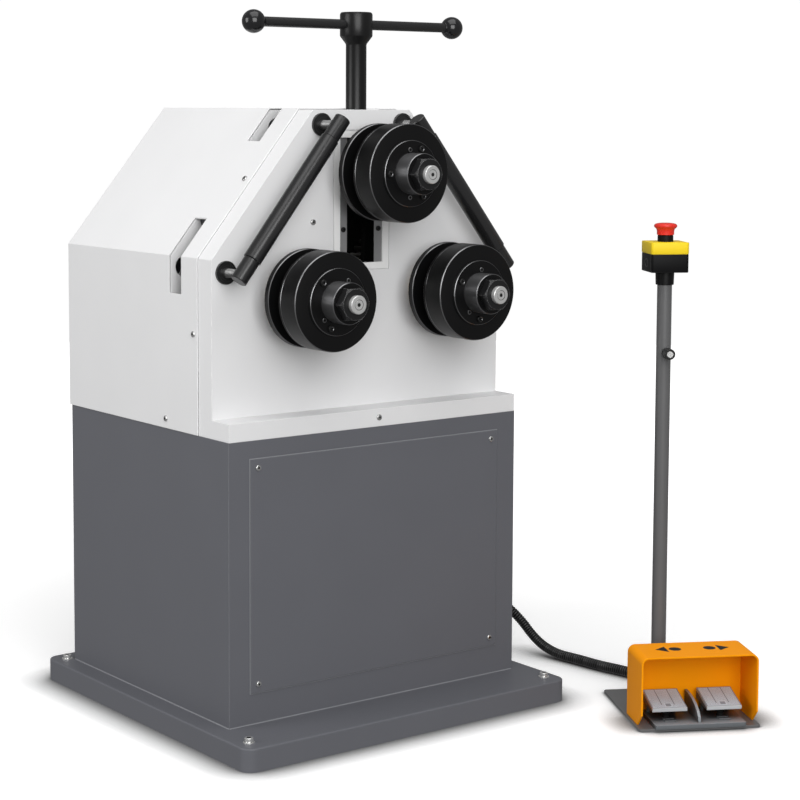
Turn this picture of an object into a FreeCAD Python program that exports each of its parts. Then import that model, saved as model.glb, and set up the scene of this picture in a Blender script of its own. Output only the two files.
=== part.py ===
"""Ring roller: a three-roll section bender with its foot-switch pedestal.

Millimetres.  +X is to the operator's right, +Y is towards the machine's back and +Z is up.  The origin is the
centre of the base plate's underside, on the floor.  "Reach" is a distance towards the operator, so a place at
reach 335 has Y = -335.  Sizes that can be set are the cells of the sheet "Sizes"; everything else follows.
"""
import FreeCAD, Part
import math
import os
import re
import Sketcher

Vector = FreeCAD.Vector
Rotation = FreeCAD.Rotation
X_AXIS = Vector(1, 0, 0)
Y_AXIS = Vector(0, 1, 0)
Z_AXIS = Vector(0, 0, 1)

SIZES = {
    # base and cabinet
    "base_margin": 40, "base_depth": 730, "base_height": 42, "base_corner": 24, "base_edge": 3,
    "bolt_inset": 28, "bolt_setback": 37, "bolt_radius": 5, "bolt_head": 8, "bolt_head_height": 7,
    "bolt_washer": 10.5, "bolt_washer_height": 2,
    "cabinet_width": 656, "cabinet_reach": 247, "cabinet_back": 319, "cabinet_top": 552, "cabinet_sheet": 3,
    "panel_margin": 44.5, "panel_rise": 56, "panel_drop": 33, "panel_sheet": 2, "panel_lap": 24,
    "screw_inset": 16, "screw_radius": 3, "screw_head": 5.5, "screw_head_height": 3, "screw_length": 9,
    "motor_opening": 260, "lug_radius": 12, "casing_screw_rise": 181, "slope_screw_rise": 137,
    "plate_screw_rise": 60,
    # head: front plate, rear plate, casing
    "plate_reach": 192, "plate_depth": 44, "head_inset": 1, "shoulder_rise": 316, "bridge_height": 51,
    "top_width": 220, "foot_height": 33, "plate_gap": 94, "rear_plate_depth": 40, "rear_plate_play": 1,
    "tie_radius": 18, "tie_low_inset": 42, "tie_low_rise": 70, "tie_middle_inset": 31, "tie_middle_rise": 62,
    "tie_high_gap": 31.5, "tie_high_drop": 50,
    "casing_sheet": 2, "casing_play": 0.5, "casing_back": 325,
    "slot_side_drop": 67, "slot_side_run": 53, "slot_top_drop": 58, "slot_top_run": 40, "slot_outer_reach": 95,
    "lift_hole": 19, "lift_low_inset": 30, "lift_low_drop": 21, "lift_high_inset": 15, "lift_high_drop": 35,
    # slide window and upper slide
    "window_width": 97, "slide_travel": 116, "slide_headroom": 14, "recess_border": 15.5, "recess_low": 14,
    "recess_depth": 3, "rail_width": 17.5, "rail_set_back": 4, "rail_seat": 10,
    "slide_play": 0.2, "slide_cheek": 13, "slide_height": 100, "slide_rise": 48, "slide_set_back": 6,
    "slide_tail": 2, "slide_bush_wall": 2.5, "slide_bush_length": 60,
    # three shafts and their rolls
    "shaft_spread": 160, "lower_shaft_rise": 245, "upper_shaft_rise": 221,
    "shaft_radius": 25, "rear_journal": 22.5, "nose_radius": 16, "nose_length": 25, "nose_chamfer": 2,
    "centre_hole": 3, "shaft_tail": 6, "ring_step": 5, "end_play": 0.3,
    "seat_gap": 0.02, "running_gap": 0.05, "bush_wall": 8, "bush_flange": 50, "bush_flange_depth": 8,
    "shaft_collar": 35, "roll_radius": 88.5, "roll_reach": 335, "front_roll_depth": 51, "front_chamfer": 2.5,
    "back_ring_depth": 7.5, "ring_groove": 1, "roll_core_depth": 31, "roll_core": 60, "rear_disc_depth": 13, "roll_chamfer": 1.5,
    "flange_radius": 59.5, "flange_depth": 5.5, "boss_radius": 37, "boss_reach": 376, "boss_cap": 8,
    "nut_flats": 55, "nut_height": 17,
    # gear train
    "gear_module": 5, "gear_teeth": 46, "pinion_teeth": 20, "gear_width": 44, "backlash": 0.4,
    "gear_web": 16, "gear_rim": 14, "gear_hub": 42,
    "pinion_shaft": 20, "gearbox_half": 95, "gearbox_back": 130, "gearbox_rise": 70, "gearbox_drop": 95,
    "gearbox_flange": 80, "gearbox_edge": 12, "pinion_sink": 60, "motor_radius": 68, "motor_length": 260,
    "motor_fin": 8, "motor_fins": 16, "motor_y": 72,
    "control_width": 120, "control_depth": 200, "control_low": 250, "control_height": 250,
    # feed screw and handle
    "spindle_reach": 173, "stem_radius": 19, "neck_radius": 14, "screw_rod": 10, "screw_sink": 14,
    "hub_drop": 36, "cone_height": 15, "hub_radius": 30, "hub_rise": 22.5, "thread_run": 64,
    "thread_relief": 1, "screw_drop": 44, "screw_headroom": 4, "collar_radius": 18.5, "collar_play": 0.3,
    "spindle_bush_wall": 3,
    "bar_rise": 155, "bar_radius": 9, "knob_spread": 225, "knob_radius": 21, "knob_depth": 14,
    # side guide bars
    "guide_reach": 247, "guide_high_inset": 18, "guide_high_drop": 27, "guide_low_inset": 29, "guide_low_drop": 23,
    "guide_overhang": 14, "guide_end_length": 45, "guide_end_radius": 15, "guide_core_radius": 11,
    "guide_sleeve_radius": 16.75, "guide_end_play": 0.3, "stud_radius": 8, "stud_sink": 20,
    "stud_washer_radius": 21, "stud_washer_depth": 5,
    # pedestal
    "stand_side": 172, "stand_reach": 536, "stand_turn": -28.7, "stand_width": 230, "stand_depth": 258,
    "stand_sheet": 5, "stand_corner": 6, "post_left": 18, "post_y": 88, "post_radius": 14, "post_wall": 2.5,
    "post_top": 812, "post_socket": 10, "post_collar_radius": 18,
    "post_collar_rise": 15, "stop_box_width": 74, "stop_box_height": 35, "stop_lid_height": 22,
    "stop_box_wall": 3, "stop_corner": 6, "bezel_radius": 14.9, "bezel_height": 12.5, "bezel_barrel": 11,
    "bezel_sink": 14,
    "plunger_radius": 7.5, "stop_skirt": 16.4, "stop_skirt_wall": 1.2, "stop_rim": 22, "stop_height": 22.5,
    "stop_travel": 5, "post_knob_height": 673, "post_knob_radius": 10.5, "post_knob_tip": 45,
    "post_boss_radius": 7, "post_boss_tip": 20, "knob_screw": 4, "knob_face": 7,
    # foot switch
    "guard_inset": 4, "guard_depth": 98, "guard_setback": 26, "guard_top": 137, "guard_wall": 3,
    "guard_corner": 14, "guard_nose_height": 24, "guard_nose_run": 26,
    "pedal_base_width": 172, "pedal_base_depth": 101, "pedal_base_gap": 4, "pedal_base_sheet": 8,
    "pedal_inner": 19, "pedal_width": 66, "pedal_depth": 68, "pedal_setback": 7, "pedal_pin_inset": 6,
    "pedal_pin_drop": 15, "pedal_skirt": 3, "pedal_pin_radius": 4, "pedal_sheet": 5, "pedal_rise": 16,
    "pedal_back_height": 53,
    "pedal_lip": 7, "fin_thickness": 5, "fin_top": 50, "pedal_ear": 6, "pedal_ear_radius": 6,
    "pedal_ear_spread": 25, "spring_radius": 8, "spring_inset": 42,
    # conduit
    "conduit_radius": 10, "gland_y": 62, "gland_height": 118, "gland_length": 30, "gland_radius": 17,
    "gland_spigot": 8,
    "guard_gland_x": 42, "guard_gland_height": 32, "guard_gland_length": 22,
}

# widths, heights and depths that follow from the sizes
FOLLOWS = {
    "base_width": "(cabinet_width + 2 * base_margin)", "bolt_x": "(base_width / 2 - bolt_inset)",
    "bolt_y": "(base_depth / 2 - bolt_setback)", "panel_width": "(cabinet_width - 2 * panel_margin)",
    "panel_low": "(base_height + panel_rise)", "panel_high": "(cabinet_top - panel_drop)",
    "head_width": "(cabinet_width - 2 * head_inset)", "shoulder_height": "(cabinet_top + shoulder_rise)",
    "lower_shaft": "(cabinet_top + lower_shaft_rise)", "upper_shaft": "(lower_shaft + upper_shaft_rise)",
    "slide_top": "(upper_shaft + slide_rise)", "slide_low": "(slide_top - slide_height)",
    "window_high": "(slide_top + slide_headroom)", "window_low": "(slide_low - slide_travel)",
    "head_top": "(window_high + bridge_height)",
    "casing_screw_height": "(cabinet_top + casing_screw_rise)",
    "slope_screw_height": "(shoulder_height + slope_screw_rise)",
    "plate_screw_height": "(shoulder_height + plate_screw_rise)",
    "tie_low_x": "(head_width / 2 - tie_low_inset)", "tie_low_height": "(cabinet_top + tie_low_rise)",
    "tie_middle_height": "(shoulder_height + tie_middle_rise)",
    "tie_high_x": "(window_width / 2 + tie_high_gap)", "tie_high_height": "(window_high - tie_high_drop)",
    "slot_side_low": "(shoulder_height - slot_side_drop)", "slot_side_inner": "(head_width / 2 - slot_side_run)",
    "slot_top_low": "(head_top - slot_top_drop)", "slot_top_inner": "(top_width / 2 - slot_top_run)",
    "lift_low_x": "(head_width / 2 - lift_low_inset)", "lift_low_height": "(shoulder_height - lift_low_drop)",
    "lift_high_x": "(top_width / 2 - lift_high_inset)", "lift_high_height": "(head_top - lift_high_drop)",
    "nose_reach": "(boss_reach + nose_length)",
    "bar_height": "(head_top + bar_rise)", "stem_top": "(bar_height - hub_drop)",
    "hub_top": "(bar_height + hub_rise)", "screw_top": "(bar_height - screw_drop)",
    "thread_top": "(slide_top + thread_run)",
    "guide_high_x": "(top_width / 2 - guide_high_inset)", "guide_high_z": "(head_top - guide_high_drop)",
    "guide_low_x": "(head_width / 2 - guide_low_inset)", "guide_low_z": "(shoulder_height - guide_low_drop)",
    "stand_x": "(cabinet_width / 2 + stand_side)", "post_x": "(-post_left)",
    "stop_box_low": "(post_top + post_collar_rise)",
    "guard_width": "(stand_width - 2 * guard_inset)", "guard_back": "(-guard_setback)",
    "guard_front": "(guard_back - guard_depth)", "pedal_base_back": "(guard_back - guard_wall - pedal_base_gap)",
    "pedal_base_front": "(pedal_base_back - pedal_base_depth)", "pedal_back": "(pedal_base_back - pedal_setback)",
    "pedal_front": "(pedal_back - pedal_depth)", "pedal_pin_y": "(pedal_back - pedal_pin_inset)",
    "pedal_pin_height": "(pedal_back_height - pedal_pin_drop)",
    "pedal_front_height": "(pedal_back_height - pedal_rise)",
    "spring_y": "(pedal_back - spring_inset)",
}

doc = FreeCAD.newDocument("ring_roller")
sheet = doc.addObject("Spreadsheet::Sheet", "Sizes")
for row, (alias, number) in enumerate(SIZES.items(), start=1):
    sheet.set(f"A{row}", str(number))
    sheet.setAlias(f"A{row}", alias)
doc.recompute()


def cells(text):
    """An expression with what follows written out, and each size turned into a reference to its cell."""
    def written(word):
        name = word.group()
        if name in FOLLOWS:
            return cells(FOLLOWS[name])
        return "Sizes." + name if name in SIZES else name
    return re.sub(r"[a-z]\w*", written, text)


def size(text):
    """The present value of an expression written in the sheet's names."""
    return float(sheet.evalExpression(cells(text)))


# ---------------------------------------------------------------- places shared by several pieces
SEAM_REACH = "(plate_reach - plate_depth)"
REAR_PLATE_REACH = f"({SEAM_REACH} - plate_gap)"
REAR_PLATE_BACK = f"({REAR_PLATE_REACH} - rear_plate_depth)"
RISE = "(head_top - shoulder_height)"
RUN = "((head_width - top_width) / 2)"
SLOPE = f"sqrt({RISE}^2 + {RUN}^2)"
BACK_DISC_REACH = "(roll_reach - front_roll_depth - roll_core_depth - rear_disc_depth)"
NECK_HALF = "(window_width / 2 - rail_width - slide_play)"
MESH_DISTANCE = "(gear_module * (gear_teeth + pinion_teeth) / 2)"
PINION_HEIGHT = f"(lower_shaft - sqrt({MESH_DISTANCE}^2 - shaft_spread^2))"
GEAR_BACK = f"({REAR_PLATE_REACH} + (plate_gap - gear_width) / 2)"
STOP_LID_LOW = "(stop_box_low + stop_box_height)"
STOP_TOP = f"({STOP_LID_LOW} + stop_lid_height)"
PEDESTAL = ("stand_x", "-stand_reach", "0")
PEDAL_RISE = "pedal_rise"
PEDAL_RUN = "pedal_depth"
TOWARDS_FRONT = Rotation(X_AXIS, 90)          # turns a body's own +Z to point at the operator
UPRIGHT = Rotation()
STAND_TURN = Rotation(Z_AXIS, size("stand_turn"))


# ---------------------------------------------------------------- how the sub-parts are made
def bind(thing, **expressions):
    """Bind properties of an object to expressions written in the sheet's names."""
    for name, text in expressions.items():
        thing.setExpression(name, cells(text))
    return thing


def place(thing, at=("0", "0", "0"), turned=UPRIGHT):
    """Put an object at a place given by three expressions."""
    thing.Placement = FreeCAD.Placement(Vector(), turned)
    for axis, text in zip("xyz", at):
        thing.setExpression("Placement.Base." + axis, cells(text))
    return thing


def box(name, low, high, at=("0", "0", "0"), turned=UPRIGHT):
    """A block between two corners given as expressions."""
    block = doc.addObject("Part::Box", name)
    spans = [f"({b}) - ({a})" for a, b in zip(low, high)]
    bind(block, Length=spans[0], Width=spans[1], Height=spans[2])
    return place(block, low if at == ("0", "0", "0") else at, turned)


def rod(name, radius, length, at, turned=UPRIGHT):
    """A plain cylinder that starts at a place and runs along its own +Z."""
    cylinder = doc.addObject("Part::Cylinder", name)
    bind(cylinder, Radius=radius, Height=length)
    return place(cylinder, at, turned)


def fuse(name, *pieces):
    joined = doc.addObject("Part::MultiFuse", name)
    joined.Shapes = list(pieces)
    joined.Refine = True
    return joined


def cut(name, base, *tools):
    """The base with one or more tools taken out of it."""
    result = doc.addObject("Part::Cut", name)
    result.Base = base
    result.Tool = tools[0] if len(tools) == 1 else fuse(name + "_tools", *tools)
    result.Refine = True
    return result


def group(name, *pieces):
    """Separate solids that share one node."""
    compound = doc.addObject("Part::Compound", name)
    compound.Links = list(pieces)
    return compound


def origin_plane(body, role):
    return [feature for feature in body.Origin.OriginFeatures if feature.Role == role][0]


def outline(body, name, points, role="XY_Plane"):
    """A closed outline in a body's origin plane; every corner is held by the sheet's values."""
    sketch = body.newObject("Sketcher::SketchObject", name)
    sketch.AttachmentSupport = [(origin_plane(body, role), "")]
    sketch.MapMode = "FlatFace"
    corners = [Vector(size(x), size(y), 0) for x, y in points]
    count = len(corners)
    for index in range(count):
        sketch.addGeometry(Part.LineSegment(corners[index], corners[(index + 1) % count]))
    for index in range(count):
        sketch.addConstraint(Sketcher.Constraint("Coincident", index, 2, (index + 1) % count, 1))
    for index, (x, y) in enumerate(points):
        for kind, value, text in (("DistanceX", corners[index].x, x), ("DistanceY", corners[index].y, y)):
            number = sketch.addConstraint(Sketcher.Constraint(kind, index, 1, value))
            sketch.setExpression(f"Constraints[{number}]", cells(text))
    return sketch


def pad(body, name, sketch, length):
    feature = body.newObject("PartDesign::Pad", name)
    feature.Profile = sketch
    bind(feature, Length=length)
    sketch.Visibility = False
    return feature


def turned_body(name, profile, at=("0", "0", "0"), turned=UPRIGHT):
    """A body turned about its own Z axis from a closed outline of (radius, height) pairs."""
    body = doc.addObject("PartDesign::Body", name)
    sketch = outline(body, name + "_profile", profile, "XZ_Plane")
    feature = body.newObject("PartDesign::Revolution", name + "_turned")
    feature.Profile = sketch
    feature.ReferenceAxis = (sketch, ["V_Axis"])
    feature.Angle = 360
    return place(body, at, turned)


def padded_body(name, points, depth, at=("0", "0", "0"), turned=UPRIGHT):
    """A body with one outline padded along its own Z axis."""
    body = doc.addObject("PartDesign::Body", name)
    pad(body, name + "_pad", outline(body, name + "_outline", points), depth)
    return place(body, at, turned)


def runs_along(edge, axis):
    if not isinstance(edge.Curve, Part.Line):
        return False
    return abs(edge.Curve.Direction.dot(axis)) > 0.999


def rounded(name, base, radius, chosen):
    """A base with the chosen edges rounded; chosen is a test on an edge."""
    doc.recompute()
    fillet = doc.addObject("Part::Fillet", name)
    fillet.Base = base
    numbers = [n for n, edge in enumerate(base.Shape.Edges, start=1) if chosen(edge)]
    fillet.Edges = [(number, size(radius), size(radius)) for number in numbers]
    return fillet


def upright_edge(edge):
    return runs_along(edge, Z_AXIS)


nodes = []


def node(thing, name):
    """Name a finished sub-part; its name is also its file's name."""
    thing.Label = name
    nodes.append(thing)
    return thing


def house(offset, low):
    """The head's five-sided front outline, moved outwards by an offset, with its foot at a height."""
    side = f"(head_width / 2 + {offset})"
    shoulder = f"(shoulder_height + ({offset}) * (1 - {RISE} / {SLOPE}) * {SLOPE} / {RUN})"
    shoulder_top = f"(top_width / 2 + ({offset}) * (1 - {RUN} / {SLOPE}) * {SLOPE} / {RISE})"
    top = f"(head_top + {offset})"
    return [(f"-{side}", low), (side, low), (side, shoulder), (shoulder_top, top),
            (f"-{shoulder_top}", top), (f"-{side}", shoulder)]


# ---------------------------------------------------------------- base
def make_base():
    """Heavy flat base with rounded corners and four levelling bolts through it."""
    slab = box("base_slab", ("-base_width / 2", "-base_depth / 2", "0"),
               ("base_width / 2", "base_depth / 2", "base_height"))
    corners = rounded("base_corners", slab, "base_corner", upright_edge)
    doc.recompute()
    top = size("base_height")
    softened = rounded("base_softened", corners, "base_edge",
                       lambda edge: all(abs(vertex.Z - top) < 0.01 for vertex in edge.Vertexes))
    places = [(f"{sx} * bolt_x", f"{sy} * bolt_y") for sx in (-1, 1) for sy in (-1, 1)]
    holes = [rod(f"base_hole_{n}", "bolt_radius + seat_gap", "base_height", (x, y, "0"))
             for n, (x, y) in enumerate(places)]
    node(cut("base", softened, *holes), "base_plate")
    bolts = []
    for n, (x, y) in enumerate(places):
        washer_top = "base_height + bolt_washer_height"
        washer = cut(f"bolt_washer_{n}", rod(f"washer_disc_{n}", "bolt_washer", "bolt_washer_height",
                                            (x, y, "base_height")),
                     rod(f"washer_hole_{n}", "bolt_radius + seat_gap", "bolt_washer_height",
                         (x, y, "base_height")))
        head = doc.addObject("Part::Prism", f"bolt_head_{n}")
        head.Polygon = 6
        bind(head, Circumradius="bolt_head * 2 / sqrt(3)", Height="bolt_head_height")
        place(head, (x, y, washer_top))
        shank = rod(f"bolt_shank_{n}", "bolt_radius", "base_height + bolt_washer_height - 2", (x, y, "2"))
        bolts += [washer, fuse(f"bolt_{n}", head, shank)]
    node(group("bolts", *bolts), "levelling_bolts")


# ---------------------------------------------------------------- cabinet
def make_cabinet():
    """Folded sheet cabinet: a service opening in front, a motor opening in its top."""
    half = "cabinet_width / 2"
    outer = box("cabinet_outer", (f"-{half}", "-cabinet_reach", "base_height"),
                (half, "cabinet_back", "cabinet_top"))
    inner = box("cabinet_inner", (f"-{half} + cabinet_sheet", "-cabinet_reach + cabinet_sheet", "base_height"),
                (f"{half} - cabinet_sheet", "cabinet_back - cabinet_sheet", "cabinet_top - cabinet_sheet"))
    service = box("service_opening", ("-panel_width / 2 + panel_lap", "-cabinet_reach", "panel_low + panel_lap"),
                  ("panel_width / 2 - panel_lap", "-cabinet_reach + cabinet_sheet", "panel_high - panel_lap"))
    motor = box("motor_hole", ("-motor_opening / 2", f"-{REAR_PLATE_BACK}", "cabinet_top - cabinet_sheet"),
                ("motor_opening / 2", f"-{REAR_PLATE_BACK} + motor_opening", "cabinet_top"))
    cable = rod("cable_hole", "conduit_radius", "cabinet_sheet",
                (f"{half} - cabinet_sheet", "gland_y", "gland_height"), Rotation(Y_AXIS, 90))
    node(cut("cabinet", outer, inner, service, motor, cable, *screw_holes("cabinet")), "cabinet_shell")
    front = "-cabinet_reach - panel_sheet"
    panel = box("panel", ("-panel_width / 2", front, "panel_low"),
                ("panel_width / 2", "-cabinet_reach", "panel_high"))
    node(cut("panel_cut", panel, *screw_holes("panel")), "service_panel")
    control = box("control_block", (f"{half} - cabinet_sheet - control_width", "-control_depth / 2 + 60",
                                    "control_low"),
                  (f"{half} - cabinet_sheet", "control_depth / 2 + 60", "control_low + control_height"))
    node(rounded("control", control, "base_edge", lambda edge: runs_along(edge, X_AXIS)), "control_box")


# ---------------------------------------------------------------- head frame
def front_bore(name, radius, x, height, reach, depth):
    """A cylinder along Y whose front end is at a reach."""
    return rod(name, radius, depth, (x, f"-({reach}) + {depth}", height), TOWARDS_FRONT)


def make_frame():
    """Front and rear frame plates, tie bars, and the rails that the slide runs between."""
    plate = padded_body("front_plate", house("0", "cabinet_top"), "plate_depth",
                        ("0", f"-{SEAM_REACH}", "0"), TOWARDS_FRONT)
    foot = box("front_foot", ("-head_width / 2", "-cabinet_reach", "cabinet_top"),
               ("head_width / 2", "-plate_reach + 1", "cabinet_top + foot_height"))
    lugs = []
    for side, sign in (("left", "-1"), ("right", "1")):
        slope_lug = (f"{sign} * ({slope_x('slope_screw_height')} - lug_radius * {RISE} / {SLOPE})",
                     f"slope_screw_height - lug_radius * {RUN} / {SLOPE}")
        side_lug = (f"{sign} * (head_width / 2 - lug_radius)", "casing_screw_height")
        for name, (x, height) in (("side", side_lug), ("slope", slope_lug)):
            lugs.append(front_bore(f"{side}_{name}_lug", "lug_radius", x, height, f"{SEAM_REACH} + 1",
                                   "lug_radius * 2 + 7"))
    window = box("front_window", ("-window_width / 2", "-plate_reach", "window_low"),
                 ("window_width / 2", f"-{SEAM_REACH} - rail_seat", "window_high"))
    neck = box("front_window_neck", (f"-{NECK_HALF} - slide_play", f"-{SEAM_REACH} - rail_seat", "window_low"),
               (f"{NECK_HALF} + slide_play", f"-{SEAM_REACH}", "window_high"))
    recess = box("window_recess", ("-window_width / 2 - recess_border", "-plate_reach", "window_low - recess_low"),
                 ("window_width / 2 + recess_border", "-plate_reach + recess_depth", "window_high + recess_low"))
    tools = [window, neck, recess]
    for side, x in (("left", "-shaft_spread"), ("right", "shaft_spread")):
        tools.append(front_bore(f"{side}_front_seat", "shaft_radius + bush_wall", x, "lower_shaft",
                                "plate_reach", "plate_depth"))
    tools.append(rod("spindle_seat", "neck_radius + spindle_bush_wall", "head_top - window_high",
                     ("0", "-spindle_reach", "window_high")))
    for side, sign in (("left", "-1"), ("right", "1")):
        for level in ("high", "low"):
            tools.append(front_bore(f"{side}_{level}_stud_hole", "stud_radius + seat_gap",
                                    f"{sign} * guide_{level}_x", f"guide_{level}_z", "plate_reach", "stud_sink"))
    tools += screw_holes("plate")
    node(cut("front_frame", fuse("front_casting", plate, foot, *lugs), *tools), "frame_front_plate")

    rear = padded_body("rear_plate", house("-rear_plate_play", "cabinet_top"), "rear_plate_depth",
                       ("0", f"-{REAR_PLATE_BACK}", "0"), TOWARDS_FRONT)
    tools = [box("rear_window", ("-window_width / 2", f"-{REAR_PLATE_REACH}", "window_low"),
                 ("window_width / 2", f"-{REAR_PLATE_BACK}", "window_high"))]
    tools.append(front_bore("pinion_bore", "pinion_shaft + 6", "0", PINION_HEIGHT, REAR_PLATE_REACH,
                            "rear_plate_depth"))
    for side, sign in (("left", "-1"), ("right", "1")):
        tools.append(front_bore(f"{side}_rear_seat", "shaft_radius + bush_wall", f"{sign} * shaft_spread",
                                "lower_shaft", REAR_PLATE_REACH, "rear_plate_depth"))
        for level in ("low", "high"):
            tools.append(front_bore(f"{side}_{level}_lift_hole", "lift_hole", f"{sign} * lift_{level}_x",
                                    f"lift_{level}_height", REAR_PLATE_REACH, "rear_plate_depth"))
    tools += screw_holes("rear")
    node(cut("rear_frame", rear, *tools), "frame_rear_plate")

    ties = []
    for side, sign in (("left", "-1"), ("right", "1")):
        spots = (("tie_low_x", "tie_low_height"),
                 (f"({slope_x('tie_middle_height')} - tie_middle_inset)", "tie_middle_height"),
                 ("tie_high_x", "tie_high_height"))
        for n, (x, height) in enumerate(spots):
            ties.append(front_bore(f"{side}_tie_{n}", "tie_radius", f"{sign} * {x}", height, SEAM_REACH, "plate_gap"))
    node(group("ties", *ties), "frame_tie_bars")

    rails = []
    for side, sign in (("left", "-1"), ("right", "1")):
        inner = "window_width / 2 - rail_width"
        outer = "window_width / 2"
        low_x, high_x = (f"-({outer})", f"-({inner})") if sign == "-1" else (inner, outer)
        rails.append(box(f"{side}_front_rail", (low_x, "-plate_reach + rail_set_back", "window_low"),
                         (high_x, f"-{SEAM_REACH} - rail_seat", "window_high")))
        rails.append(box(f"{side}_rear_rail", (low_x, f"-{REAR_PLATE_REACH}", "window_low"),
                         (high_x, f"-{REAR_PLATE_BACK}", "window_high")))
    node(group("rails", *rails), "guide_rails")


def make_casing():
    """Sheet casing behind the front plate, open below, with slots that reach the lifting holes."""
    body = doc.addObject("PartDesign::Body", "casing_body")
    outer = "(casing_play + casing_sheet)"
    depth = f"{SEAM_REACH} + casing_back"
    pad(body, "casing_pad", outline(body, "casing_outline", house(outer, "cabinet_top + casing_play")), depth)
    place(body, ("0", "casing_back", "0"), TOWARDS_FRONT)
    hollow = padded_body("casing_hollow", house("casing_play", "cabinet_top"), f"{depth} - casing_sheet",
                         ("0", "casing_back - casing_sheet", "0"), TOWARDS_FRONT)
    slots = []
    for side, sign in (("left", "-1"), ("right", "1")):
        for level, low, inner in (("side", "slot_side_low", "slot_side_inner"),
                                  ("top", "slot_top_low", "slot_top_inner")):
            far = "head_width / 2 + 10" if level == "side" else f"{slope_x(low)} + 10"
            top = "head_top + 10" if level == "top" else ("shoulder_height + 10"
                                                           f" + (head_width / 2 - slot_side_inner) * {RISE} / {RUN}")
            low_x, high_x = (f"-({far})", f"-{inner}") if sign == "-1" else (inner, far)
            slots.append(box(f"{side}_{level}_slot", (low_x, "-slot_outer_reach", low),
                             (high_x, f"-{REAR_PLATE_REACH}", top)))
    node(cut("casing", body, hollow, *slots, *screw_holes("casing")), "head_casing")


# ---------------------------------------------------------------- cover screws
def screw_sites():
    """Each screw: name, seat of its head, the way its shank points, and the pieces it goes through."""
    to_back = Rotation(X_AXIS, -90)
    front = "-cabinet_reach - panel_sheet"
    sites = []
    for side, sign in (("left", "-1"), ("right", "1")):
        for level, height in (("low", "panel_low + screw_inset"), ("high", "panel_high - screw_inset")):
            x = f"{sign} * (panel_width / 2 - screw_inset)"
            sites.append((f"{side}_{level}_panel", (x, front, height), to_back, ("panel", "cabinet")))
        inward = Rotation(Y_AXIS, 90) if side == "left" else Rotation(Y_AXIS, -90)
        skin = f"{sign} * (head_width / 2 + casing_play + casing_sheet)"
        sites.append((f"{side}_casing_middle", (skin, f"-{SEAM_REACH} + lug_radius", "casing_screw_height"),
                      inward, ("casing", "plate")))
        sites.append((f"{side}_casing_low", (skin, f"-{REAR_PLATE_REACH} + 14", "cabinet_top + 18"),
                      inward, ("casing", "rear")))
        down = Rotation(Z_AXIS, Vector(-float(sign) * size(RISE), 0, -size(RUN)))
        out = f"(casing_play + casing_sheet) / {SLOPE}"
        sites.append((f"{side}_casing_slope",
                      (f"{sign} * ({slope_x('slope_screw_height')} + {out} * {RISE})",
                       f"-{SEAM_REACH} + lug_radius + 6", f"slope_screw_height + {out} * {RUN}"),
                      down, ("casing", "plate")))
        sites.append((f"{side}_plate", (f"{sign} * top_width / 2", "-plate_reach", "plate_screw_height"),
                      to_back, ("plate",)))
    sites.append(("foot", ("0", "-cabinet_reach", "cabinet_top + foot_height / 2"), to_back, ("plate",)))
    return sites


def slope_x(height):
    """How far from the middle the head's sloping side is at a height."""
    return f"(head_width / 2 - ({height} - shoulder_height) * {RUN} / {RISE})"


def screw_holes(host):
    """Clearance holes in one piece for every screw that goes through it."""
    return [rod(f"{host}_hole_{name}", "screw_radius + seat_gap", "screw_length + 1", at, turned)
            for name, at, turned, hosts in screw_sites() if host in hosts]


def make_cover_screws():
    """Button-headed screws of the service panel, the casing and the front plate."""
    profile = [("0", "-screw_head_height"), ("screw_head * 0.45", "-screw_head_height"),
               ("screw_head * 0.85", "-screw_head_height * 0.7"), ("screw_head", "-screw_head_height * 0.2"),
               ("screw_head", "0"), ("screw_radius", "0"), ("screw_radius", "screw_length"), ("0", "screw_length")]
    node(group("screws", *[turned_body("screw_" + name, profile, at, turned)
                           for name, at, turned, hosts in screw_sites()]), "cover_screws")


# ---------------------------------------------------------------- shafts, bushes and rolls
SHAFTS = {"left": ("-shaft_spread", "0", "lower_shaft"), "right": ("shaft_spread", "0", "lower_shaft"),
          "upper": ("0", "0", "upper_shaft")}


def sleeve_profile(inner, outer, low, high):
    return [(inner, low), (outer, low), (outer, high), (inner, high)]


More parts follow.
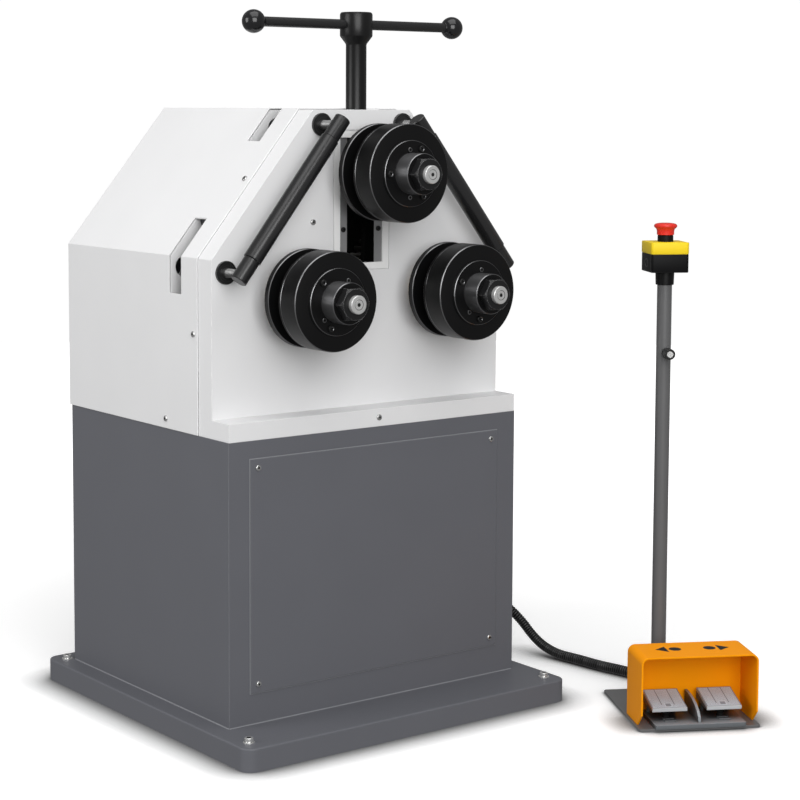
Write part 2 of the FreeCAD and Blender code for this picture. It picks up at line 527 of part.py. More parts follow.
def make_shafts():
    """Two driven lower shafts held by flanged bushes, and the upper shaft in the slide's bushes."""
    shoulder = "boss_reach - boss_cap - 2"
    nose = [("shaft_radius", BACK_DISC_REACH), ("shaft_radius", shoulder), ("nose_radius", shoulder),
            ("nose_radius", "nose_reach - nose_chamfer"), ("nose_radius - nose_chamfer", "nose_reach"),
            ("centre_hole", "nose_reach"), ("0", "nose_reach - centre_hole")]
    ring_front = f"{REAR_PLATE_BACK} - end_play"
    journal_front = f"{REAR_PLATE_REACH} + end_play"
    collar_back = "plate_reach + bush_flange_depth + end_play"
    lower = [("0", "shaft_tail"), ("rear_journal + ring_step", "shaft_tail"), ("rear_journal + ring_step", ring_front),
             ("rear_journal", ring_front), ("rear_journal", journal_front), ("shaft_radius", journal_front),
             ("shaft_radius", collar_back), ("shaft_collar", collar_back), ("shaft_collar", BACK_DISC_REACH)] + nose
    slide_back = f"{REAR_PLATE_BACK} - slide_tail - end_play"
    slide_front = "plate_reach - slide_set_back + end_play"
    step = "plate_reach + end_play * 2"
    upper = [("0", "shaft_tail - 2"), ("shaft_radius + 4", "shaft_tail - 2"), ("shaft_radius + 4", slide_back),
             ("shaft_radius", slide_back), ("shaft_radius", slide_front), ("shaft_radius + 4", slide_front),
             ("shaft_radius + 4", step), ("shaft_collar", step), ("shaft_collar", BACK_DISC_REACH)] + nose
    for side, at in SHAFTS.items():
        profile = upper if side == "upper" else lower
        node(turned_body(side + "_shaft_body", profile, at, TOWARDS_FRONT), side + "_shaft")
    bushes = []
    for side in ("left", "right"):
        front = [("shaft_radius + running_gap", SEAM_REACH), ("shaft_radius + bush_wall", SEAM_REACH),
                 ("shaft_radius + bush_wall", "plate_reach"), ("bush_flange", "plate_reach"),
                 ("bush_flange", "plate_reach + bush_flange_depth"),
                 ("shaft_radius + running_gap", "plate_reach + bush_flange_depth")]
        rear = sleeve_profile("rear_journal + running_gap", "shaft_radius + bush_wall", REAR_PLATE_BACK,
                              REAR_PLATE_REACH)
        bushes.append(turned_body(side + "_front_bush", front, SHAFTS[side], TOWARDS_FRONT))
        bushes.append(turned_body(side + "_rear_bush", rear, SHAFTS[side], TOWARDS_FRONT))
    node(group("bushes", *bushes), "lower_shaft_bushes")


def make_rolls():
    """On each shaft a rear roll, a front roll, a clamping flange with a long boss, and a hexagon nut."""
    bore = "shaft_radius + seat_gap"
    front_low = "roll_reach - front_roll_depth"
    core_low = f"{front_low} - roll_core_depth"
    joint = f"({front_low} + back_ring_depth)"
    edge = "roll_radius - roll_chamfer"
    rear_roll = [(bore, BACK_DISC_REACH), (edge, BACK_DISC_REACH),
                 ("roll_radius", f"{BACK_DISC_REACH} + roll_chamfer"),
                 ("roll_radius", f"{core_low} - roll_chamfer"), (edge, core_low), ("roll_core", core_low),
                 ("roll_core", front_low), (bore, front_low)]
    front_roll = [(bore, front_low), (edge, front_low), ("roll_radius", f"{front_low} + roll_chamfer"),
                  ("roll_radius", f"{joint} - ring_groove"), ("roll_radius - ring_groove", joint),
                  ("roll_radius", f"{joint} + ring_groove"),
                  ("roll_radius", "roll_reach - front_chamfer"), ("roll_radius - front_chamfer", "roll_reach"),
                  (bore, "roll_reach")]
    disc_top = "roll_reach + flange_depth"
    cap = "boss_reach - boss_cap"
    flange = [(bore, "roll_reach"), ("flange_radius", "roll_reach"), ("flange_radius", f"{disc_top} - 1"),
              ("flange_radius - 1", disc_top), ("boss_radius", disc_top), ("boss_radius", "boss_reach - 2"),
              ("boss_radius - 2", "boss_reach"), ("nose_radius + seat_gap", "boss_reach"),
              ("nose_radius + seat_gap", cap), (bore, cap)]
    corner = "nut_flats / sqrt(3)"
    for side, at in SHAFTS.items():
        for name, profile in (("roll_rear", rear_roll), ("roll_front", front_roll), ("clamp_flange", flange)):
            node(turned_body(f"{side}_{name}_body", profile, at, TOWARDS_FRONT), f"{side}_{name}")
        prism = doc.addObject("Part::Prism", side + "_nut_prism")
        prism.Polygon = 6
        bind(prism, Circumradius=corner, Height="nut_height")
        place(prism, (at[0], "-boss_reach", at[2]), TOWARDS_FRONT)
        bevel = "(nut_flats * (1 / sqrt(3) - 1 / 2))"
        envelope = turned_body(side + "_nut_bevel",
                               [("0", "0"), ("nut_flats / 2", "0"), (f"{corner} + 0.5", f"({bevel} + 0.5) * 0.6"),
                                (f"{corner} + 0.5", f"nut_height - ({bevel} + 0.5) * 0.6"),
                                ("nut_flats / 2", "nut_height"), ("0", "nut_height")],
                               (at[0], "-boss_reach", at[2]), TOWARDS_FRONT)
        bevelled = doc.addObject("Part::Common", side + "_nut_blank")
        bevelled.Base = prism
        bevelled.Tool = envelope
        hole = rod(side + "_nut_hole", "nose_radius + seat_gap", "nut_height",
                   (at[0], "-boss_reach", at[2]), TOWARDS_FRONT)
        node(cut(side + "_nut_cut", bevelled, hole), side + "_nut")


# ---------------------------------------------------------------- gear train
def involute(angle):
    return math.tan(angle) - angle


def gear_blank(teeth, first_tooth):
    """A toothed disc in the XY plane whose first tooth points at an angle from +X.

    Each flank is an involute of the base circle in short straight steps; the tooth is thinned by half the
    backlash on each gear, and a small gear's flank runs on radially from the base circle to the root.
    """
    module, width = size("gear_module"), size("gear_width")
    pressure = math.radians(20)
    pitch = module * teeth / 2
    base = pitch * math.cos(pressure)
    root, tip = pitch - 1.25 * module, pitch + module
    start = max(base, root)
    half_at_pitch = (math.pi * module - size("backlash")) / (4 * pitch)
    steps = 4
    flank = []
    for step in range(steps + 1):
        radius = start + (tip - start) * step / steps
        half = half_at_pitch + involute(pressure) - involute(math.acos(base / radius))
        flank.append((radius, half))
    if root < base:
        flank.insert(0, (root, flank[0][1]))
    corners = []
    for tooth in range(teeth):
        middle = first_tooth + 2 * math.pi * tooth / teeth
        for radius, half in flank:
            corners.append((radius, middle - half))
        for radius, half in reversed(flank):
            corners.append((radius, middle + half))
    points = [Vector(radius * math.cos(angle), radius * math.sin(angle), 0) for radius, angle in corners]
    face = Part.Face(Part.makePolygon(points + points[:1]))
    return face.extrude(Vector(0, 0, width)), root


def mesh_angle(pinion_tooth, direction):
    """Where the big gear's first tooth must point so that its space takes the pinion's tooth."""
    pinion_pitch = 2 * math.pi / size("pinion_teeth")
    gear_pitch = 2 * math.pi / size("gear_teeth")
    share = ((direction - pinion_tooth) % pinion_pitch) / pinion_pitch
    return direction + math.pi + (share + 0.5) * gear_pitch


def make_gears():
    """The pinion between the lower shafts turns both of them the same way."""
    gear_teeth, pinion_teeth = int(size("gear_teeth")), int(size("pinion_teeth"))
    back = size(GEAR_BACK)
    width = size("gear_width")
    drop = size(f"lower_shaft - {PINION_HEIGHT}")
    pinion_tooth = math.pi / 2
    for side, sign in (("left", -1), ("right", 1)):
        direction = math.atan2(drop, sign * size("shaft_spread"))
        blank, root = gear_blank(gear_teeth, mesh_angle(pinion_tooth, direction))
        recess = (width - size("gear_web")) / 2
        for low in (0, width - recess):
            hollow = Part.makeCylinder(root - size("gear_rim"), recess, Vector(0, 0, low))
            hub = Part.makeCylinder(size("gear_hub"), recess, Vector(0, 0, low))
            blank = blank.cut(hollow.cut(hub))
        bore = Part.makeCylinder(size("shaft_radius + seat_gap"), width)
        gear = doc.addObject("Part::Feature", side + "_gear_solid")
        gear.Shape = blank.cut(bore)
        gear.Placement = FreeCAD.Placement(Vector(sign * size("shaft_spread"), -back, size("lower_shaft")),
                                           TOWARDS_FRONT)
        node(gear, side + "_gear")
    blank, root = gear_blank(pinion_teeth, pinion_tooth)
    sink = size("pinion_sink") + size(GEAR_BACK)
    spindle = Part.makeCylinder(size("pinion_shaft"), sink + width + 6, Vector(0, 0, -sink))
    pinion = doc.addObject("Part::Feature", "pinion_solid")
    pinion.Shape = blank.fuse(spindle).removeSplitter()
    pinion.Placement = FreeCAD.Placement(Vector(0, -back, size(PINION_HEIGHT)), TOWARDS_FRONT)
    node(pinion, "drive_pinion")


def make_drive():
    """Gearbox bolted behind the rear plate, with its motor hanging into the cabinet."""
    face = f"-{REAR_PLATE_BACK}"
    low = f"{PINION_HEIGHT} - gearbox_drop"
    case = box("gearbox_case", ("-gearbox_half", face, low),
               ("gearbox_half", "gearbox_back", f"{PINION_HEIGHT} + gearbox_rise"))
    cover = rod("gearbox_cover", "gearbox_flange", "15", ("0", "gearbox_back + 15", PINION_HEIGHT), TOWARDS_FRONT)
    bore = rod("gearbox_bore", "pinion_shaft + running_gap", f"pinion_sink + 2 + {REAR_PLATE_BACK}",
               ("0", "pinion_sink + 2", PINION_HEIGHT), TOWARDS_FRONT)
    case = rounded("gearbox_rounded", case, "gearbox_edge", lambda edge: runs_along(edge, Y_AXIS))
    node(cut("gearbox_cut", fuse("gearbox_solid", case, cover), bore), "gearbox")
    flange, barrel, cowl = "motor_radius + motor_fin", "motor_radius", "motor_radius + motor_fin / 2"
    profile = [("0", "0"), (flange, "0"), (flange, "-15"), (barrel, "-15"), (barrel, "-motor_length + 60"),
               (cowl, "-motor_length + 60"), (cowl, "-motor_length + 6"), (f"{cowl} - 6", "-motor_length"),
               ("0", "-motor_length")]
    barrel_body = turned_body("motor_barrel", list(reversed(profile)), ("0", "motor_y", low))
    fin = box("motor_fin_blade", ("motor_radius - 2", "-2", "-motor_length + 62"),
              ("motor_radius + motor_fin - 1", "2", "-17"))
    fins = []
    for number in range(int(size("motor_fins"))):
        angle = 360 * number / size("motor_fins")
        blade = doc.addObject("Part::Compound", f"motor_fin_{number}")
        blade.Links = [fin]
        fins.append(place(blade, ("0", "motor_y", low), Rotation(Z_AXIS, angle)))
    node(fuse("motor", barrel_body, *fins), "drive_motor")


# ---------------------------------------------------------------- upper slide, feed screw and handle
def make_slide():
    """Bronze-bushed slide block that carries the upper shaft between the rails of both plates."""
    necks = [box("slide_neck", (f"-{NECK_HALF}", "-plate_reach + slide_set_back", "slide_low"),
                 (NECK_HALF, f"-{REAR_PLATE_BACK} + slide_tail", "slide_top"))]
    cheeks = box("slide_cheeks", (f"-{NECK_HALF} - slide_cheek", f"-{SEAM_REACH} + slide_play", "slide_low"),
                 (f"{NECK_HALF} + slide_cheek", f"-{REAR_PLATE_REACH} - slide_play", "slide_top"))
    length = f"plate_reach - slide_set_back - {REAR_PLATE_BACK} + slide_tail"
    bore = front_bore("slide_bore", "shaft_radius + slide_bush_wall", "0", "upper_shaft",
                      "plate_reach - slide_set_back", length)
    seat = rod("screw_seat", "screw_rod + seat_gap", "screw_sink", ("0", "-spindle_reach", "slide_top - screw_sink"))
    node(cut("slide", fuse("slide_solid", cheeks, *necks), bore, seat), "slide_block")
    back, front = f"{REAR_PLATE_BACK} - slide_tail", "plate_reach - slide_set_back"
    bushes = [turned_body(f"slide_bush_{end}", sleeve_profile("shaft_radius + running_gap",
                                                              "shaft_radius + slide_bush_wall", low, high),
                          SHAFTS["upper"], TOWARDS_FRONT)
              for end, low, high in (("back", back, f"{back} + slide_bush_length"),
                                     ("front", f"{front} - slide_bush_length", front))]
    node(group("slide_bush_pair", *bushes), "slide_bushes")
    screw = [("0", "slide_top - screw_sink"), ("screw_rod", "slide_top - screw_sink"),
             ("screw_rod", "screw_top - 2"), ("screw_rod - 2", "screw_top"), ("0", "screw_top")]
    node(turned_body("screw", screw, ("0", "-spindle_reach", "0")), "feed_screw")


def make_handle():
    """The handle's stem is a long nut: it turns in the front plate's bridge and draws the screw up or down."""
    axis = ("0", "-spindle_reach", "0")
    low = "slide_top + 2"
    bridge = "head_top + collar_play"
    cone = "stem_top + cone_height"
    ceiling = "screw_top + screw_headroom"
    stem = [("screw_rod + running_gap", low), ("neck_radius", low), ("neck_radius", bridge), ("stem_radius", bridge),
            ("stem_radius", "stem_top"), ("hub_radius", cone), ("hub_radius", "hub_top - 2"),
            ("hub_radius - 2", "hub_top"), ("0", "hub_top"), ("0", ceiling), ("screw_rod + thread_relief", ceiling),
            ("screw_rod + thread_relief", "thread_top"), ("screw_rod + running_gap", "thread_top")]
    cross = rod("hub_cross_hole", "bar_radius", "hub_radius * 2", ("-hub_radius", "-spindle_reach", "bar_height"),
                Rotation(Y_AXIS, 90))
    node(cut("sleeve", turned_body("stem", stem, axis), cross), "handle_sleeve")
    node(turned_body("collar", sleeve_profile("neck_radius", "collar_radius", low, "window_high - collar_play"), axis),
         "thrust_collar")
    node(turned_body("bridge_bush", sleeve_profile("neck_radius + running_gap", "neck_radius + spindle_bush_wall",
                                                   "window_high", "head_top"), axis), "spindle_bush")
    end = "knob_spread - knob_radius + knob_depth"
    node(rod("bar", "bar_radius", f"2 * ({end})", (f"-({end})", "-spindle_reach", "bar_height"),
             Rotation(Y_AXIS, 90)), "handle_bar")
    knobs = []
    for side, sign in (("left", "-1"), ("right", "1")):
        ball = doc.addObject("Part::Sphere", side + "_ball")
        bind(ball, Radius="knob_radius")
        outward = UPRIGHT if side == "right" else Rotation(Z_AXIS, 180)
        place(ball, (f"{sign} * knob_spread", "-spindle_reach", "bar_height"), outward)
        low_x = f"-({end})" if side == "left" else "knob_spread - knob_radius"
        hole = rod(side + "_ball_hole", "bar_radius", "knob_depth", (low_x, "-spindle_reach", "bar_height"),
                   Rotation(Y_AXIS, 90))
        knobs.append(cut(side + "_knob", ball, hole))
    node(group("knobs", *knobs), "handle_knobs")


# ---------------------------------------------------------------- side guide bars
def make_guides():
    """On each side a fixed bar stands on two studs, with a sleeve that turns on its core."""
    run = size("guide_low_x - guide_high_x")
    climb = size("guide_low_z - guide_high_z")
    lean = math.degrees(math.atan2(run, -climb))
    span = "sqrt((guide_low_x - guide_high_x)^2 + (guide_high_z - guide_low_z)^2)"
    cap_inner = "(guide_end_length - guide_overhang)"
    cap_floor = "(guide_overhang - 4)"
    fixed, studs = [], []
    for side, sign in (("left", -1), ("right", 1)):
        foot = (f"{sign} * guide_low_x", "-guide_reach", "guide_low_z")
        turned = Rotation(Y_AXIS, -sign * lean)
        holes = []
        for level in ("low", "high"):
            x, z = f"{sign} * guide_{level}_x", f"guide_{level}_z"
            studs.append(front_bore(f"{side}_{level}_stud", "stud_radius", x, z, "guide_reach + 5",
                                    "guide_reach + 5 - plate_reach + stud_sink"))
            washer = front_bore(f"{side}_{level}_disc", "stud_washer_radius", x, z,
                                "plate_reach + stud_washer_depth", "stud_washer_depth")
            inner = front_bore(f"{side}_{level}_disc_hole", "stud_radius", x, z,
                               "plate_reach + stud_washer_depth", "stud_washer_depth")
            studs.append(cut(f"{side}_{level}_washer", washer, inner))
            holes.append(front_bore(f"{side}_{level}_bar_hole", "stud_radius", x, z, "guide_reach + 5",
                                    "guide_end_radius + 5"))
        core = rod(side + "_core", "guide_core_radius", f"{span} + 2 * {cap_floor}", ("0", "0", f"-{cap_floor}"))
        low_cap = [("0", "-guide_overhang"), ("guide_end_radius - 1", "-guide_overhang"),
                   ("guide_end_radius", "-guide_overhang + 1"), ("guide_end_radius", cap_inner),
                   ("guide_core_radius", cap_inner), ("guide_core_radius", f"-{cap_floor}"), ("0", f"-{cap_floor}")]
        high_cap = [(radius, f"{span} - ({height})") for radius, height in reversed(low_cap)]
        pieces = [core, turned_body(side + "_low_cap", low_cap), turned_body(side + "_high_cap", high_cap)]
        for number, piece in enumerate(pieces):
            carried = place(group(f"{side}_bar_piece_{number}", piece), foot, turned)
            fixed.append(cut(f"{side}_bar_{number}", carried, *holes))
        sleeve = sleeve_profile("guide_core_radius + running_gap", "guide_sleeve_radius",
                                f"{cap_inner} + guide_end_play", f"{span} - {cap_inner} - guide_end_play")
        node(turned_body(side + "_sleeve", sleeve, foot, turned), side + "_guide_roller")
    node(group("bars", *fixed), "guide_bars")
    node(group("stud_set", *studs), "guide_studs")


# ---------------------------------------------------------------- pedestal: plate, post, stop button
def on_stand(thing, name):
    """A piece drawn about the pedestal's own middle, carried to where the pedestal stands."""
    node(place(group(name + "_on_stand", thing), PEDESTAL, STAND_TURN), name)


TOWARDS_STAND_FRONT = Rotation(X_AXIS, 90)
ALONG_PEDAL = Rotation(Vector(1, 1, 1), 120)      # own X to the pedestal's Y, own Y to Z, own Z to X


def make_stand():
    """Flat plate with a tube post welded on, a clamping knob in its boss, and the stop button on top."""
    plate = box("stand_sheet_blank", ("-stand_width / 2", "-stand_depth / 2", "0"),
                ("stand_width / 2", "stand_depth / 2", "stand_sheet"))
    plate = rounded("stand_plate", plate, "stand_corner", upright_edge)
    post = cut("post", rod("post_outer", "post_radius", "post_top - stand_sheet", ("post_x", "post_y", "stand_sheet")),
               rod("post_inner", "post_radius - post_wall", "post_top - stand_sheet",
                   ("post_x", "post_y", "stand_sheet")))
    boss = rod("knob_boss", "post_boss_radius", "post_boss_tip - post_radius + 2",
               ("post_x", "post_y - post_radius + 2", "post_knob_height"), TOWARDS_STAND_FRONT)
    hole = rod("knob_hole", "knob_screw + running_gap", "post_boss_tip",
               ("post_x", "post_y", "post_knob_height"), TOWARDS_STAND_FRONT)
    on_stand(cut("stand", fuse("stand_solid", plate, post, boss), hole), "stand_frame")
    knob = [("0", "post_radius - 4"), ("knob_screw", "post_radius - 4"), ("knob_screw", "post_boss_tip + end_play"),
            ("post_knob_radius - 1", "post_boss_tip + end_play"), ("post_knob_radius", "post_boss_tip + end_play + 1"),
            ("post_knob_radius", "post_knob_tip - 2"), ("post_knob_radius - 1.5", "post_knob_tip - 0.5"),
            ("knob_face", "post_knob_tip - 0.5"), ("knob_face", "post_knob_tip"), ("0", "post_knob_tip")]
    on_stand(turned_body("knob", knob, ("post_x", "post_y", "post_knob_height"), TOWARDS_STAND_FRONT), "post_knob")
    top = ("post_x", "post_y", "0")
    collar = [("0", "post_top"), ("post_radius", "post_top"), ("post_radius", "post_top - post_socket"),
              ("post_collar_radius", "post_top - post_socket"), ("post_collar_radius", "stop_box_low"),
              ("0", "stop_box_low")]
    on_stand(turned_body("collar_top", collar, top), "post_collar")


def stop_block(name, low, high, shrink):
    """A block centred on the post, its sides drawn in by an amount."""
    half = f"(stop_box_width / 2 - {shrink})"
    return box(name, (f"post_x - {half}", f"post_y - {half}", low), (f"post_x + {half}", f"post_y + {half}", high))


def make_stop_button():
    """Two-part box with a bezel; the mushroom head slides down with its plunger and twists to let go."""
    base = rounded("stop_base", stop_block("stop_base_blank", "stop_box_low", STOP_LID_LOW, "0"),
                   "stop_corner", upright_edge)
    on_stand(cut("stop_base_cut", base, stop_block("stop_base_hollow", "stop_box_low + stop_box_wall",
                                                   STOP_LID_LOW, "stop_box_wall")), "estop_box_base")
    lid = rounded("stop_lid", stop_block("stop_lid_blank", STOP_LID_LOW, STOP_TOP, "0"), "stop_corner", upright_edge)
    hollow = stop_block("stop_lid_hollow", STOP_LID_LOW, f"{STOP_TOP} - stop_box_wall", "stop_box_wall")
    mouth = rod("stop_mouth", "bezel_barrel", "stop_box_wall", ("post_x", "post_y", f"{STOP_TOP} - stop_box_wall"))
    on_stand(cut("stop_lid_cut", lid, hollow, mouth), "estop_box_lid")
    top = ("post_x", "post_y", STOP_TOP)
    inner = "plunger_radius + running_gap"
    bezel = [(inner, "-bezel_sink"), ("bezel_barrel", "-bezel_sink"), ("bezel_barrel", "0"), ("bezel_radius", "0"),
             ("bezel_radius", "bezel_height - 1"), ("bezel_radius - 1", "bezel_height"), (inner, "bezel_height")]
    on_stand(turned_body("bezel", bezel, top), "estop_bezel")
    foot = "-bezel_sink - end_play"
    reach = "bezel_height + stop_height * 0.6"
    plunger = [("0", f"{foot} - 6"), ("plunger_radius + 2", f"{foot} - 6"), ("plunger_radius + 2", foot),
               ("plunger_radius", foot), ("plunger_radius", reach), ("0", reach)]
    on_stand(turned_body("plunger", plunger, top), "estop_plunger")
    low = "bezel_height + 0.5"
    head = [(inner, f"{low} + stop_travel"), ("stop_skirt - stop_skirt_wall", f"{low} + stop_travel"),
            ("stop_skirt - stop_skirt_wall", low), ("stop_skirt", low), ("stop_skirt", f"{low} + stop_height * 0.48"),
            ("stop_rim - 1.5", f"{low} + stop_height * 0.64"), ("stop_rim", f"{low} + stop_height * 0.72"),
            ("stop_rim - 0.6", f"{low} + stop_height * 0.82"), ("stop_rim - 4", f"{low} + stop_height * 0.93"),
            ("stop_rim - 10", f"{low} + stop_height"), ("0", f"{low} + stop_height"), ("0", f"{reach} + seat_gap"),
            (inner, f"{reach} + seat_gap")]
    on_stand(turned_body("head", head, top), "estop_head")


# ---------------------------------------------------------------- foot switch
def pedal_side(name, points, low, high):
    """An outline in the pedestal's side view (depth, height), given a thickness across it."""
    return padded_body(name, points, f"({high}) - ({low})", (low, "0", "0"), ALONG_PEDAL)


def make_foot_switch():
    """Casting with a fin between two sprung pedals, each hung on a pin between two ears."""
    top = "(stand_sheet + pedal_base_sheet)"
    slab = box("pedal_slab", ("-pedal_base_width / 2", "pedal_base_front", "stand_sheet"),
               ("pedal_base_width / 2", "pedal_base_back", top))
    slab = rounded("pedal_slab_rounded", slab, "pedal_ear_radius / 2", upright_edge)
    fin_back = "pedal_base_back - 3"
    fin_run = "(pedal_base_back - pedal_base_front - 12)"
    curve = [(f"{fin_back} - {fin_run} * {math.sin(math.radians(angle)):.4f}",
              f"{top} + (fin_top - {top}) * {math.cos(math.radians(angle)):.4f}") for angle in range(0, 90, 15)]
    fin = [(fin_back, f"{top} - 1"), *curve, (f"{fin_back} - {fin_run}", f"{top} - 1")]
    pieces = [slab, pedal_side("pedal_fin", list(reversed(fin)), "-fin_thickness / 2", "fin_thickness / 2")]
    pin_holes, pins, springs = [], [], []
    rise, run = PEDAL_RISE, PEDAL_RUN
    under = f"(pedal_sheet * sqrt({run}^2 + {rise}^2) / {run})"
    for side, sign in (("left", -1), ("right", 1)):
        middle = f"({sign} * (pedal_inner + pedal_width / 2))"
        for place_name, offset in (("inner", "-pedal_ear_spread"), ("outer", "pedal_ear_spread")):
            centre = f"{middle} + ({offset})"
            low, high = f"{centre} - pedal_ear / 2", f"{centre} + pedal_ear / 2"
            pieces.append(box(f"{side}_{place_name}_ear",
                              (low, "pedal_pin_y - pedal_ear_radius", f"{top} - 1"),
                              (high, "pedal_pin_y + pedal_ear_radius", "pedal_pin_height")))
            pieces.append(rod(f"{side}_{place_name}_ear_top", "pedal_ear_radius", "pedal_ear",
                              (low, "pedal_pin_y", "pedal_pin_height"), Rotation(Y_AXIS, 90)))
        outer = "(pedal_ear_spread + pedal_ear / 2)"
        pins.append(rod(f"{side}_pin", "pedal_pin_radius", f"2 * {outer}",
                        (f"{middle} - {outer}", "pedal_pin_y", "pedal_pin_height"), Rotation(Y_AXIS, 90)))
        pin_holes.append(rod(f"{side}_pin_hole", "pedal_pin_radius", f"2 * {outer}",
                             (f"{middle} - {outer}", "pedal_pin_y", "pedal_pin_height"), Rotation(Y_AXIS, 90)))
        half = "pedal_width / 2"
        tread = [("pedal_back", "pedal_back_height"), ("pedal_front", "pedal_front_height"),
                 ("pedal_front", "pedal_front_height - pedal_lip"),
                 ("pedal_front + 4", "pedal_front_height - pedal_lip"),
                 ("pedal_front + 4", f"pedal_front_height + 4 * {rise} / {run} - {under}"),
                 ("pedal_back", f"pedal_back_height - {under}")]
        skirt = [("pedal_back", "pedal_back_height - 1"), ("pedal_front + 1", "pedal_front_height - 1"),
                 ("pedal_front + 1", "pedal_front_height - pedal_lip + 1"),
                 ("pedal_front + 10", "pedal_front_height - pedal_lip - 1"),
                 ("pedal_back", "pedal_pin_height - 4")]
        parts = [pedal_side(side + "_tread", tread, f"{middle} - {half}", f"{middle} + {half}")]
        for edge_name, edge_low in (("inner", f"{middle} - {half}"), ("outer", f"{middle} + {half} - pedal_skirt")):
            parts.append(pedal_side(f"{side}_{edge_name}_skirt", skirt, edge_low, f"{edge_low} + pedal_skirt"))
        hub_half = "(pedal_ear_spread - pedal_ear / 2 - end_play)"
        parts.append(rod(side + "_hub", "pedal_pin_radius + pedal_sheet", f"2 * {hub_half}",
                         (f"{middle} - {hub_half}", "pedal_pin_y", "pedal_pin_height"), Rotation(Y_AXIS, 90)))
        bore = rod(side + "_hub_bore", "pedal_pin_radius + running_gap", f"2 * {hub_half}",
                   (f"{middle} - {hub_half}", "pedal_pin_y", "pedal_pin_height"), Rotation(Y_AXIS, 90))
        on_stand(cut(side + "_pedal_cut", fuse(side + "_pedal_solid", *parts), bore), side + "_pedal")
        springs.append(pedal_spring(side, middle, top, under))
    on_stand(cut("pedal_casting", fuse("pedal_casting_solid", *pieces), *pin_holes), "pedal_base")
    on_stand(group("pins", *pins), "pedal_pins")
    on_stand(group("springs", *springs), "pedal_springs")


def pedal_spring(side, middle, floor, under):
    """Waisted rubber spring between the casting and the underside of a pedal."""
    level = f"(pedal_back_height - {under} + (spring_y - pedal_back) * {PEDAL_RISE} / {PEDAL_RUN})"
    top = f"({level} - spring_radius * {PEDAL_RISE} / {PEDAL_RUN})"
    step = f"({top} - ({floor})) / 4"
    profile = [("0", floor), ("spring_radius", floor), ("spring_radius - 2", f"{floor} + {step}"),
               ("spring_radius", f"{floor} + 2 * {step}"), ("spring_radius - 2", f"{floor} + 3 * {step}"),
               ("spring_radius", top), ("0", top)]
    return turned_body(side + "_spring", profile, (middle, "spring_y", "0"))


def make_guard():
    """Foot guard open in front and below, with its front lower corners cut back."""
    half = "guard_width / 2"
    shell = box("guard_outer", (f"-{half}", "guard_front", "stand_sheet"), (half, "guard_back", "guard_top"))
    top = size("guard_top")
    shell = rounded("guard_rounded", shell, "guard_corner",
                    lambda edge: runs_along(edge, Y_AXIS) and edge.Vertexes[0].Z > top - 0.1)
    hollow = box("guard_hollow", (f"-{half} + guard_wall", "guard_front", "stand_sheet"),
                 (f"{half} - guard_wall", "guard_back - guard_wall", "guard_top - guard_wall"))
    inner_top = size("guard_top - guard_wall")
    hollow = rounded("guard_hollow_rounded", hollow, "guard_corner - guard_wall",
                     lambda edge: runs_along(edge, Y_AXIS) and edge.Vertexes[0].Z > inner_top - 0.1)
    nose = pedal_side("guard_nose", [("guard_front", "stand_sheet"), ("guard_front + guard_nose_run", "stand_sheet"),
                                     ("guard_front", "stand_sheet + guard_nose_height")], f"-{half}", half)
    hole = rod("guard_cable_hole", "conduit_radius", "guard_wall",
               ("guard_gland_x", "guard_back - guard_wall", "guard_gland_height"), Rotation(X_AXIS, -90))
    on_stand(cut("guard", shell, hollow, nose, hole), "foot_guard")


# ---------------------------------------------------------------- conduit and its glands
def gland_profile(length):
    """Spigot through the wall, hexagon shoulder as a disc, and the body that the conduit's end meets."""
    bore = "conduit_radius - 3"
    return [(bore, "-gland_spigot"), ("conduit_radius", "-gland_spigot"), ("conduit_radius", "0"),
            ("gland_radius", "0"), ("gland_radius", "8"), ("gland_radius - 3.5", "9"),
            ("gland_radius - 3.5", length), (bore, length)]


def stand_point(x, y, z):
    """Where a point drawn about the pedestal's middle is in the machine's frame."""
    return FreeCAD.Placement(Vector(size("stand_x"), -size("stand_reach"), 0), STAND_TURN).multVec(Vector(x, y, z))


def conduit_route():
    """From the cabinet's side, down to the floor, back round the post, and into the guard's rear wall."""
    start = Vector(size("cabinet_width / 2 + gland_length"), size("gland_y"), size("gland_height"))
    x, y, z = size("guard_gland_x"), size("guard_back + guard_gland_length"), size("guard_gland_height")
    floor = size("conduit_radius + 0.3")
    on_plate = size("stand_sheet") + floor
    middle = [start + Vector(46, 0, 0), start + Vector(97, -17, -4), start + Vector(145, -52, -20),
              Vector(529, -33, 62), Vector(541, -81, 24), Vector(546, -136, floor + 0.3),
              Vector(554, -192, floor + 1.1), Vector(560, -249, floor), Vector(571, -306, floor + 0.9),
              Vector(580, -362, floor + 0.1), Vector(585, -410, on_plate + 1.1), Vector(575, -458, on_plate + 2.2),
              Vector(564, -500, on_plate + 10.5), stand_point(x, y + 34, z)]
    return [start, *middle, stand_point(x, y, z)]


